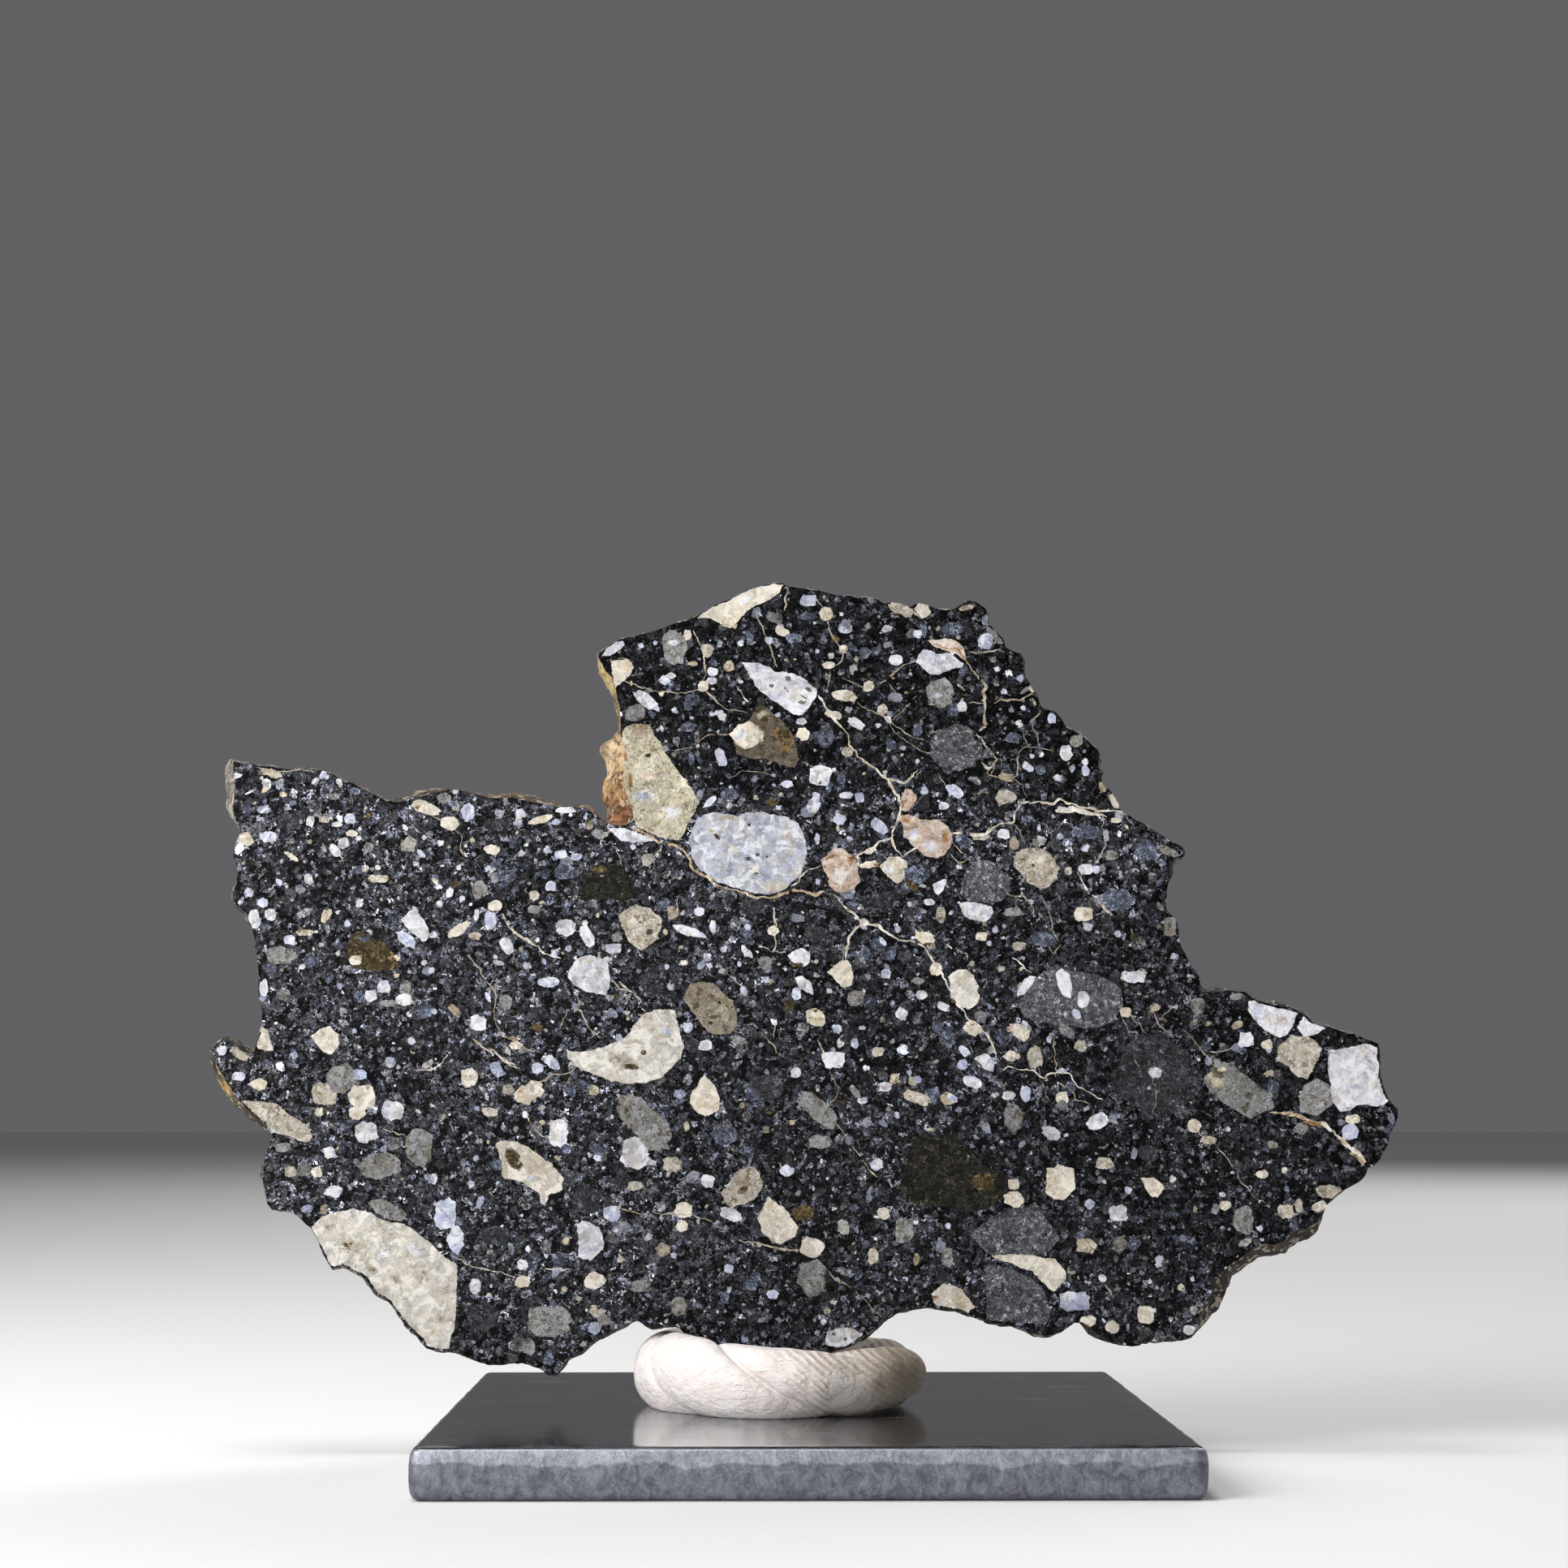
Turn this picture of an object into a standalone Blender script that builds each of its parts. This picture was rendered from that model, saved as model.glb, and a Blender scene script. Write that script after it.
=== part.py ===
"""A thin sawn slice of lunar breccia, standing on edge in a twisted ring of white putty on a small metal plate.

Blender 4.5, metres, +Z up. The origin is the centre of the plate's underside. The slice's two
sawn faces are parallel to the XZ plane, and -Y is the side that faces the viewer.
"""

import math

import bmesh
import bpy
import numpy as np

MM = 0.001

PLATE_SIDE = 0.050
PLATE_THICKNESS = 0.0033
PLATE_EDGE_ROUND = 0.0007

RING_CENTRE = (-0.0016, 0.0)
RING_OUTER_DIAMETER = 0.0206
ROPE_WIDTH = 0.0052
ROPE_HEIGHT_LEFT = 0.0057
ROPE_HEIGHT_RIGHT = 0.0042
RING_RIGHT_LIFT = 0.0005  # the right end curls up off the plate
ROPE_TURNS = 3  # full turns of the two strands round each other, all the way round the ring
CREASE_AT_FRONT = math.radians(-92)  # where round the ring a crease crosses the outer side
CREASE_DEPTH = 0.17  # share of the rope's radius
CREASE_WIDTH = math.radians(20)
STRAND_BULGE = 0.05
RING_STEPS = 60
ROPE_STEPS = 20
FOOT_FLAT = 0.86  # the rope's centre stands this share of its half height above its flat foot

SLICE_THICKNESS = 0.0030
RIM_FLARE = 0.00022  # how far the broken rim stands out where the edge lists don't say
RIM_ROUGHNESS = 0.00011
RIM_SEED = 11
# Where across the thickness each row of the rim lies, and its share of the flare.
RIM_PROFILE = ((0.0, 0.0), (0.10, 0.35), (0.32, 0.78), (0.60, 1.0), (0.85, 1.0), (1.0, 0.88))

CLEARANCE = 0.0003  # between pieces that touch
SEAT_LEFT, SEAT_RIGHT = -12.6, 8.2  # mm, the stretch of the lower edge that can meet the putty
SEAT_TOP = 10.6  # mm, above the putty all round

# The front sawn face's edge, clockwise as the viewer sees it: x and height above the table, in mm.
# Two more numbers say how far the broken rim behind that point stands out, in x and in height.
TOP_OF_LEFT_LOBE = (
    (-40.9, 49.0, -0.6, 0.25), (-40.1, 48.8), (-39.3, 48.65), (-38.6, 48.6), (-37.9, 48.55),
    (-37.1, 48.4), (-36.3, 48.45), (-35.5, 48.4), (-34.7, 48.35), (-33.9, 48.1), (-33.0, 47.65),
    (-32.1, 47.3), (-31.2, 46.8), (-30.4, 46.45), (-29.8, 46.1), (-29.1, 46.0, 0.0, 0.45),
    (-28.5, 46.15, 0.0, 0.55), (-27.9, 46.4, 0.0, 0.6), (-27.2, 46.5, 0.0, 0.6),
    (-26.5, 46.65, 0.0, 0.6), (-25.8, 46.8, 0.0, 0.5), (-25.0, 46.95), (-24.1, 46.8), (-23.2, 46.5),
    (-22.4, 46.3, 0.0, 0.5), (-21.5, 46.3, 0.0, 0.55), (-20.7, 46.3, 0.0, 0.6),
    (-19.9, 46.1, 0.0, 0.65), (-19.1, 46.0, 0.0, 0.7), (-18.4, 45.85, 0.0, 0.6),
    (-17.7, 45.75, 0.0, 0.5), (-17.0, 45.75), (-16.3, 45.65), (-15.6, 45.6, 0.0, 0.5),
    (-15.0, 45.3, 0.0, 0.5), (-14.5, 44.9, -0.1, 0.4), (-14.1, 44.5, -0.3, 0.45),
)
OCHRE_CRUST = (
    (-13.4, 44.3, -0.9, 0.7), (-12.6, 44.35, -1.65, 0.82), (-12.1, 44.8, -2.15, 0.7),
    (-12.2, 45.5, -2.15, 0.5), (-12.5, 46.2, -2.0, 0.2), (-12.8, 47.0, -1.75, 0.0),
    (-12.9, 47.7, -1.45, 0.0), (-12.85, 48.4, -1.3, -0.1), (-12.9, 49.0, -1.35, 0.2),
    (-12.75, 49.6, -1.95, 0.3), (-12.8, 50.2, -1.8, 0.2), (-13.05, 50.8, -0.95, 0.0),
)
LEFT_OF_UPPER_LOBE = (
    (-13.1, 51.5, -0.25, 0.0), (-13.05, 52.2, -0.2, 0.0), (-13.15, 52.9, -0.25, 0.0),
    (-13.3, 53.5, -0.35, 0.0), (-13.45, 54.1, -0.35, 0.0), (-13.6, 54.7, -0.65, 0.0),
    (-13.75, 55.2, -0.8, 0.1), (-14.2, 55.6, -0.7, 0.1), (-14.5, 56.1, -0.4, 0.0),
    (-14.75, 56.75, -0.15, 0.1),
)
TOP_OF_UPPER_LOBE = (
    (-14.2, 57.25), (-13.6, 57.65), (-12.9, 57.95), (-12.15, 58.1), (-11.4, 58.3), (-10.7, 58.5),
    (-10.0, 58.75), (-9.4, 58.95), (-8.8, 59.1), (-8.2, 59.3), (-7.7, 59.5), (-7.2, 59.8),
    (-6.7, 60.1), (-6.1, 60.5), (-5.5, 60.75), (-4.9, 60.95), (-4.3, 61.3), (-3.7, 61.55),
    (-3.1, 61.75), (-2.5, 61.9), (-1.9, 62.05), (-1.35, 62.0), (-0.9, 61.8), (-0.3, 61.7),
    (0.5, 61.5), (1.2, 61.45), (1.9, 61.3), (2.6, 61.1), (3.3, 61.15), (4.1, 60.95), (4.8, 61.0),
    (5.5, 60.85), (6.0, 60.5), (6.5, 60.65), (7.2, 60.5), (7.8, 60.3), (8.4, 60.55), (9.1, 60.45),
    (9.7, 60.15), (10.4, 60.05), (11.0, 60.15), (11.55, 60.4), (12.0, 60.7), (12.45, 60.8),
    (12.9, 60.55), (13.3, 60.2),
)
RIGHT_OF_UPPER_LOBE = (
    (13.5, 59.6), (13.5, 59.1), (13.9, 58.7), (14.3, 58.25), (14.6, 57.9), (14.7, 57.4),
    (15.2, 57.1), (15.8, 56.9), (16.0, 56.3), (16.05, 55.7), (16.3, 55.0), (16.6, 54.4),
    (17.0, 53.8), (17.15, 53.2), (17.6, 52.85), (18.3, 52.6), (18.75, 52.1), (19.1, 51.5),
    (19.7, 51.2), (20.2, 50.9), (20.8, 50.4), (21.3, 49.9), (21.5, 49.3), (21.35, 48.7),
    (21.65, 48.2), (21.6, 47.7), (21.75, 47.25), (22.15, 46.95), (22.5, 46.5), (22.8, 45.9),
    (23.3, 45.2), (23.9, 44.9), (24.5, 44.55), (25.2, 44.1), (25.9, 43.65), (26.6, 43.2),
    (27.2, 42.95), (27.55, 42.55), (27.45, 42.15), (26.95, 42.05), (26.6, 41.75), (26.5, 41.3),
    (26.55, 40.8), (26.3, 40.3), (26.2, 39.7), (26.1, 39.0), (26.1, 38.5), (26.35, 38.0),
    (26.8, 37.6), (27.0, 37.0), (26.95, 36.4), (27.1, 35.8), (27.5, 35.1), (27.8, 34.5),
    (28.05, 34.0), (28.4, 33.5), (28.45, 32.9),
)
TOP_OF_RIGHT_LOBE = (
    (28.8, 32.5), (29.5, 32.45), (30.3, 32.55), (31.1, 32.5), (31.7, 32.45), (32.1, 32.1),
    (32.6, 31.75), (33.3, 31.6), (34.1, 31.5), (34.8, 31.3), (35.4, 31.1), (36.0, 30.8),
    (36.5, 30.3), (37.0, 30.0), (37.6, 29.95), (38.3, 29.75), (39.0, 29.5), (39.6, 29.4),
    (40.1, 29.15), (40.7, 28.95), (41.15, 28.75),
)
END_OF_RIGHT_LOBE = (
    (41.25, 28.2), (41.3, 27.5), (41.2, 26.9), (41.15, 26.3), (41.35, 25.7), (41.65, 25.1),
    (41.95, 24.6), (42.4, 24.1), (42.45, 23.6), (42.2, 23.0), (41.85, 22.3), (41.7, 21.7),
    (41.35, 21.1), (41.1, 20.6), (40.7, 20.15), (40.2, 19.95),
)
UNDER_RIGHT_LOBE = (
    (40.05, 19.5), (39.7, 19.1), (39.1, 18.75), (38.4, 18.35), (37.8, 17.95), (37.4, 17.5),
    (37.1, 17.0, 0.2, -0.3), (36.8, 16.6, 0.3, -0.5), (36.3, 16.0, 0.5, -0.75),
    (35.7, 15.7, 0.5, -0.9), (35.0, 15.45, 0.4, -1.0), (34.4, 15.25, 0.4, -1.1),
    (34.1, 14.75, 0.6, -0.85), (33.5, 14.5, 0.4, -0.8), (32.8, 14.6, 0.3, -0.95),
    (32.2, 14.5, 0.4, -0.95), (31.6, 14.0, 0.6, -0.75), (31.0, 13.55, 0.75, -0.6),
    (30.4, 13.2, 0.85, -0.7), (29.9, 12.85, 1.0, -0.5), (29.4, 12.45, 1.25, -0.3),
    (29.1, 11.8, 1.35, -0.25), (28.9, 11.1, 1.3, -0.35), (28.5, 10.5, 1.25, -0.5),
    (28.15, 9.95, 1.05, -0.5), (27.95, 9.4, 0.7, -0.5), (27.8, 8.8, 0.4, -0.4),
    (27.45, 8.2, 0.2, -0.3),
)
LOWER_EDGE_RIGHT = (
    (27.0, 7.95), (26.2, 7.85), (25.4, 7.8), (24.6, 7.8), (24.15, 7.75), (23.8, 7.5), (23.2, 7.45),
    (22.5, 7.65), (21.8, 7.85), (21.1, 8.15), (20.6, 8.5), (20.2, 8.9), (19.7, 9.2), (19.2, 9.15),
    (18.7, 8.8), (18.2, 8.5), (17.6, 8.3), (17.0, 8.25), (16.3, 8.4), (15.7, 8.6), (15.1, 8.85),
    (14.4, 8.95), (13.7, 9.05), (13.1, 9.2), (12.5, 9.45), (11.9, 9.55), (11.3, 9.75), (10.7, 10.0),
    (10.0, 10.15), (9.2, 10.2), (8.4, 10.15), (7.6, 10.1), (6.9, 10.0), (6.3, 9.65), (5.7, 9.25),
    (5.2, 8.75), (4.6, 8.35), (3.9, 7.85), (3.2, 7.45),
)
SEATED_EDGE = (
    (2.4, 7.3), (1.6, 7.15), (0.6, 7.0), (-0.6, 6.9), (-1.8, 6.85), (-3.0, 6.85), (-4.2, 6.95),
    (-5.3, 7.1), (-6.3, 7.35), (-7.2, 7.65), (-7.9, 8.05), (-8.4, 8.55), (-8.9, 8.95),
)
LOWER_EDGE_LEFT = (
    (-9.4, 9.0), (-10.0, 8.8), (-10.6, 8.75), (-11.1, 9.05), (-11.7, 9.3), (-12.3, 9.15),
    (-12.9, 8.85), (-13.6, 8.45), (-14.3, 8.1), (-15.0, 7.65), (-15.6, 7.1), (-16.1, 6.75),
    (-16.7, 6.5), (-17.0, 5.9), (-17.4, 5.5), (-17.9, 5.6), (-18.4, 5.95), (-19.0, 6.25),
    (-19.7, 6.4), (-20.5, 6.35), (-21.3, 6.3), (-22.1, 6.25), (-22.9, 6.45), (-23.6, 6.8),
    (-24.3, 7.1), (-25.0, 7.15), (-25.7, 7.25), (-26.4, 7.4), (-26.8, 7.75), (-27.1, 8.2),
    (-27.6, 8.6), (-28.0, 9.0), (-28.3, 9.5), (-28.65, 10.05), (-29.1, 10.6), (-29.6, 10.9),
    (-30.1, 11.2), (-30.45, 11.7), (-30.8, 12.2), (-31.3, 12.6), (-31.9, 12.9), (-32.4, 13.15),
    (-32.8, 13.0), (-33.2, 12.9), (-33.55, 13.4), (-33.85, 14.0), (-34.1, 14.6), (-34.4, 15.2),
    (-34.7, 15.75), (-35.1, 16.05), (-35.6, 16.6), (-36.1, 16.95), (-36.8, 17.1), (-37.5, 17.1),
    (-37.9, 17.5),
)
LEFT_SIDE = (
    (-38.0, 18.2), (-38.1, 18.9), (-38.25, 19.5), (-38.1, 20.1), (-38.0, 20.8), (-37.8, 21.5),
    (-37.5, 22.2), (-37.9, 22.75, -0.3, -0.4), (-38.4, 23.3, -0.4, -0.35),
    (-38.9, 23.7, -0.5, -0.35), (-39.4, 24.1, -0.6, -0.3), (-39.9, 24.6, -0.7, -0.25),
    (-40.3, 25.15, -0.85, -0.15), (-40.6, 25.6, -0.95, -0.1), (-40.9, 26.1, -0.85, -0.1),
    (-41.2, 26.6, -0.8, 0.0), (-41.5, 27.1, -0.7, 0.0), (-41.75, 27.6, -0.6, 0.0),
    (-41.95, 28.2, -0.4, 0.1), (-41.65, 28.75), (-41.2, 29.0), (-40.7, 28.85), (-40.2, 28.45),
    (-39.6, 28.05), (-39.1, 27.95), (-38.9, 28.4), (-38.8, 29.0), (-38.6, 29.6), (-38.45, 30.2),
    (-38.45, 30.9), (-38.6, 31.6), (-38.75, 32.3), (-38.8, 33.0), (-38.75, 33.6), (-38.9, 34.3),
    (-39.0, 35.1), (-39.05, 35.9), (-39.2, 36.6), (-39.4, 37.2), (-39.7, 37.8), (-40.0, 38.2),
    (-40.4, 38.6), (-40.75, 39.1), (-40.7, 39.7), (-40.45, 40.2), (-40.4, 40.9), (-40.55, 41.6),
    (-40.75, 42.2), (-40.6, 42.8), (-40.4, 43.3), (-40.3, 43.9), (-40.55, 44.5),
    (-40.85, 45.2, -0.5, 0.0), (-40.8, 45.9, -0.85, 0.0), (-40.75, 46.6, -1.0, 0.0),
    (-40.75, 47.3, -1.05, 0.0), (-40.8, 48.0, -1.0, 0.0), (-40.95, 48.55, -0.85, 0.1),
)
SLICE_EDGE = (
    TOP_OF_LEFT_LOBE + OCHRE_CRUST + LEFT_OF_UPPER_LOBE + TOP_OF_UPPER_LOBE + RIGHT_OF_UPPER_LOBE
    + TOP_OF_RIGHT_LOBE + END_OF_RIGHT_LOBE + UNDER_RIGHT_LOBE + LOWER_EDGE_RIGHT + SEATED_EDGE
    + LOWER_EDGE_LEFT + LEFT_SIDE
)

STONE_COLOUR = (0.045, 0.045, 0.055, 1.0)
PUTTY_COLOUR = (0.86, 0.82, 0.78, 1.0)
PLATE_COLOUR = (0.42, 0.43, 0.46, 1.0)


def clear_scene():
    for obj in list(bpy.data.objects):
        bpy.data.objects.remove(obj, do_unlink=True)


def new_collection(name):
    collection = bpy.data.collections.new(name)
    bpy.context.scene.collection.children.link(collection)
    return collection


def new_material(name, colour, roughness, metallic):
    material = bpy.data.materials.new(name)
    material.use_nodes = True
    shader = material.node_tree.nodes["Principled BSDF"]
    shader.inputs["Base Color"].default_value = colour
    shader.inputs["Roughness"].default_value = roughness
    shader.inputs["Metallic"].default_value = metallic
    return material


def object_from_bmesh(name, mesh_data, collection):
    mesh = bpy.data.meshes.new(name)
    mesh_data.to_mesh(mesh)
    mesh_data.free()
    obj = bpy.data.objects.new(name, mesh)
    collection.objects.link(obj)
    return obj


def loft(loops, closed):
    """A skin over loops of points: quads between each loop and the next. It is capped at both
    ends, or joined from the last loop back to the first if closed."""
    skin = bmesh.new()
    rows = [[skin.verts.new(point) for point in loop] for loop in loops]
    count = len(rows[0])
    for index in range(len(rows) if closed else len(rows) - 1):
        this, following = rows[index], rows[(index + 1) % len(rows)]
        for k in range(count):
            j = (k + 1) % count
            skin.faces.new((this[k], this[j], following[j], following[k]))
    if not closed:
        caps = [skin.faces.new(rows[0]), skin.faces.new(rows[-1])]
        for cap in caps:
            cap.normal_update()
        bmesh.ops.triangulate(skin, faces=caps)
    bmesh.ops.recalc_face_normals(skin, faces=skin.faces)
    return skin


def outward_normals(edge):
    """Unit normals of a clockwise edge in the XZ plane, each averaged over two points a side."""
    along = np.roll(edge, -2, axis=0) + np.roll(edge, -1, axis=0)
    along -= np.roll(edge, 1, axis=0) + np.roll(edge, 2, axis=0)
    normals = np.stack([-along[:, 1], along[:, 0]], axis=1)
    return normals / np.linalg.norm(normals, axis=1, keepdims=True)


def rim_loops():
    """Loops of points round the slice, from the front sawn face to the back one. Each point moves
    out from the front edge by the rim's flare, and is roughened by a seeded random amount."""
    edge = np.array([row[:2] for row in SLICE_EDGE]) * MM
    normals = outward_normals(edge)
    flare = normals * RIM_FLARE
    for index, row in enumerate(SLICE_EDGE):
        if len(row) == 4:
            flare[index] = np.array(row[2:]) * MM
    rng = np.random.default_rng(RIM_SEED)
    loops = []
    for depth, share in RIM_PROFILE:
        rough = rng.uniform(-1.0, 1.0, len(edge))
        rough = (np.roll(rough, 1) + 2 * rough + np.roll(rough, -1)) / 4
        on_rim = 0.0 if depth in (0.0, 1.0) else RIM_ROUGHNESS * 2
        place = edge + flare * share + normals * (rough * on_rim)[:, None]
        y = (depth - 0.5) * SLICE_THICKNESS
        loops.append([(x, y, z) for x, z in place])
    return loops


def make_slice(collection):
    stone = object_from_bmesh("meteorite_slice", loft(rim_loops(), closed=False), collection)
    stone.data.materials.append(new_material("breccia", STONE_COLOUR, 0.35, 0.0))
    return stone


def rope_section(ring_angle):
    """The rope's section at one place round the ring: two strands side by side, with a crease
    between them that turns with the rope. Its foot is pressed flat on the plate."""
    centre_radius = (RING_OUTER_DIAMETER - ROPE_WIDTH) / 2
    side = math.cos(ring_angle)  # 1 at the right end, -1 at the left
    half_height = (ROPE_HEIGHT_LEFT + ROPE_HEIGHT_RIGHT) / 4
    half_height -= side * (ROPE_HEIGHT_LEFT - ROPE_HEIGHT_RIGHT) / 4
    foot = PLATE_THICKNESS + CLEARANCE + RING_RIGHT_LIFT * max(0.0, side) ** 2
    crease = -ROPE_TURNS * (ring_angle - CREASE_AT_FRONT)
    points = []
    for step in range(ROPE_STEPS):
        from_crease = 2 * math.pi * step / ROPE_STEPS
        angle = crease + from_crease
        near = math.asin(abs(math.sin(from_crease)))
        swell = 1 + STRAND_BULGE * math.sin(near) - CREASE_DEPTH * math.exp(-((near / CREASE_WIDTH) ** 2))
        out = centre_radius + ROPE_WIDTH / 2 * swell * math.cos(angle)
        up = foot + half_height * (FOOT_FLAT + swell * math.sin(angle))
        points.append(
            (
                RING_CENTRE[0] + out * math.cos(ring_angle),
                RING_CENTRE[1] + out * math.sin(ring_angle),
                max(up, foot),
            )
        )
    return points


def seat_cutter(collection):
    """A prism of the slice's lower edge, let down and widened by the clearance, that presses the
    slice's seat into the ring."""
    down = (RIM_FLARE + RIM_ROUGHNESS + CLEARANCE) / MM
    low = [row[:2] for row in LOWER_EDGE_RIGHT + SEATED_EDGE + LOWER_EDGE_LEFT]
    seat = [(x, z - down) for x, z in low if SEAT_LEFT < x < SEAT_RIGHT]
    outline = seat + [(seat[-1][0], SEAT_TOP), (seat[0][0], SEAT_TOP)]
    half = SLICE_THICKNESS / 2 + CLEARANCE
    loops = [[(x * MM, y, z * MM) for x, z in outline] for y in (-half, half)]
    cutter = object_from_bmesh("seat_cutter", loft(loops, closed=False), collection)
    cutter.hide_render = True
    cutter.display_type = "WIRE"
    return cutter


def make_ring(collection, cutters):
    angles = [2 * math.pi * step / RING_STEPS for step in range(RING_STEPS)]
    # The section's points turn with the crease, and three whole turns bring them back in step.
    skin = loft([rope_section(angle) for angle in angles], closed=True)
    ring = object_from_bmesh("putty_ring", skin, collection)
    ring.data.materials.append(new_material("putty", PUTTY_COLOUR, 0.7, 0.0))
    ring.data.shade_smooth()
    ring.data.set_sharp_from_angle(angle=math.radians(50))
    seat = ring.modifiers.new("seat", "BOOLEAN")
    seat.operation = "DIFFERENCE"
    seat.object = seat_cutter(cutters)
    return ring


def make_plate(collection):
    bpy.ops.mesh.primitive_cube_add(size=1.0)
    plate = bpy.context.object
    plate.name = "base_plate"
    plate.data.name = "base_plate"
    plate.scale = (PLATE_SIDE, PLATE_SIDE, PLATE_THICKNESS)
    bpy.ops.object.transform_apply(location=False, rotation=False, scale=True)
    plate.location = (0.0, 0.0, PLATE_THICKNESS / 2)
    for owner in list(plate.users_collection):
        owner.objects.unlink(plate)
    collection.objects.link(plate)
    plate.data.materials.append(new_material("plate_metal", PLATE_COLOUR, 0.38, 1.0))
    edges = plate.modifiers.new("broken_edges", "BEVEL")
    edges.width = PLATE_EDGE_ROUND
    edges.segments = 3
    edges.limit_method = "ANGLE"
    plate.data.shade_smooth()
    plate.data.set_sharp_from_angle(angle=math.radians(40))
    return plate


def build():
    clear_scene()
    parts = new_collection("lunar_meteorite_slice")
    cutters = new_collection("cutters")
    stand = bpy.data.objects.new("stand_origin", None)
    parts.objects.link(stand)
    for piece in (make_plate(parts), make_ring(parts, cutters), make_slice(parts)):
        piece.parent = stand


build()
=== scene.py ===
import math

import bmesh
import bpy
import numpy as np
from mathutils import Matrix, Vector
from mathutils.geometry import delaunay_2d_cdt


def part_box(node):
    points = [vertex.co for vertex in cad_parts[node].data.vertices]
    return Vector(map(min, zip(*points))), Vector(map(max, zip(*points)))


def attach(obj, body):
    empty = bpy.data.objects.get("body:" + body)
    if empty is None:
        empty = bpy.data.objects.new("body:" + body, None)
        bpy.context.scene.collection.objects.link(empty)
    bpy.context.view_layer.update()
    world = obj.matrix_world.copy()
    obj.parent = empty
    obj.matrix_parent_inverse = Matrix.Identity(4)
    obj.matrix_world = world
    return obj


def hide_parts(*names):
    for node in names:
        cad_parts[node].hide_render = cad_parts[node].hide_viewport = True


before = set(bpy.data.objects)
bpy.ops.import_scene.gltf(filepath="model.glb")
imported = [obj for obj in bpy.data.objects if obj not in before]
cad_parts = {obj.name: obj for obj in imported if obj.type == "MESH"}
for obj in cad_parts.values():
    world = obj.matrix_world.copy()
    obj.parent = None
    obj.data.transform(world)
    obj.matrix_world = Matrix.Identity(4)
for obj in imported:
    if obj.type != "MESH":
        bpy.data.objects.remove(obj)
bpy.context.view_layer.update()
MM = 0.001

# Section: the base plate. The stand's foot is a square of thick aluminium sheet. Its top was rubbed
# with fine abrasive paper, and its edges were sheared and then tumbled, so they bulge and look mottled.
# It lies loose on the table.
plate_high = np.array(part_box("base_plate")[1])
PLATE_TOP = plate_high[2]
PLATE_CORNER = 0.9 * MM
PLATE_WAVE = 0.09 * MM
# How far in from the widest line, and how high, both in mm, down the edge from the top to the underside.
PLATE_EDGE = (
    (0.82, 3.3), (0.62, 3.29), (0.44, 3.24), (0.29, 3.14), (0.18, 3.0), (0.11, 2.8), (0.06, 2.5), (0.02, 2.1),
    (0.0, 1.65), (0.02, 1.2), (0.07, 0.8), (0.17, 0.45), (0.34, 0.2), (0.55, 0.05), (0.8, 0.0),
)
# The edge's lower and upper bands, and the rubbed top: the darkest and the brightest colour of each. The
# upper band's colours are a painted highlight where the edge faces up, the lower band's a painted shade where
# it faces down.
EDGE_SHADED_DARK, EDGE_SHADED_MIDDLE = (99, 101, 110), (158, 160, 171)
EDGE_LIT_PALE, EDGE_LIT_BRIGHT = (142, 144, 154), (196, 198, 208)
TOP_DARK, TOP_BRIGHT = (134, 137, 143), (198, 200, 206)
LINE_BRIGHT, FLECK_BRIGHT = (220, 221, 226), (235, 235, 240)


def drift(points, size, seed):
    """Smooth random heights from -1 to 1 at each point: random values on a lattice of the given size,
    eased from corner to corner."""
    values = np.random.default_rng(seed).uniform(-1, 1, (32, 32, 32))
    place = np.asarray(points, float) / size
    corner = np.floor(place).astype(int)
    ease = place - corner
    ease = ease * ease * (3 - 2 * ease)
    total = np.zeros(place.shape[:-1])
    for step in np.ndindex(2, 2, 2):
        share = np.prod(np.where(step, ease, 1 - ease), axis=-1)
        at = (corner + step) % 32
        total += share * values[at[..., 0], at[..., 1], at[..., 2]]
    return total


def grid_faces(rows, columns, ends_meet=False):
    """Corner numbers of the four-sided faces of a grid whose rows each close on themselves; where the
    ends meet, the last row joins the first."""
    here = np.arange(columns)
    after = (here + 1) % columns
    row = np.arange(rows if ends_meet else rows - 1)[:, None]
    lower, upper = row * columns, (row + 1) % rows * columns
    return np.stack([lower + here, lower + after, upper + after, upper + here], -1).reshape(-1, 4)


def new_piece(name, points, faces, materials):
    """A mesh object from arrays of points and faces, riding on the one body."""
    mesh = bpy.data.meshes.new(name)
    mesh.from_pydata(np.asarray(points).tolist(), [], faces)
    for material in materials:
        mesh.materials.append(material)
    mesh.polygons.foreach_set("use_smooth", np.ones(len(mesh.polygons), bool))
    mesh.update()
    piece = bpy.data.objects.new(name, mesh)
    bpy.context.scene.collection.objects.link(piece)
    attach(piece, "root")
    return piece


def round_square(half, radius, along=70, corner=9):
    """Points round a square with rounded corners, and the outward direction at each: a quarter arc and
    a straight side, turned four times by a right angle."""
    arc = np.linspace(0, math.pi / 2, corner)
    outward = np.stack([np.cos(arc), np.sin(arc)], -1)
    quarter = (half - radius) + radius * outward
    side = np.linspace(half - radius, radius - half, along + 1)[1:-1]
    quarter = np.vstack([quarter, np.stack([side, np.full_like(side, half)], -1)])
    outward = np.vstack([outward, np.tile([0.0, 1.0], (len(side), 1))])
    quarter_turn = np.array([[0, 1], [-1, 0]])
    turns = [np.linalg.matrix_power(quarter_turn, number) for number in range(4)]
    return np.vstack([quarter @ turn for turn in turns]), np.vstack([outward @ turn for turn in turns])


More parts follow.
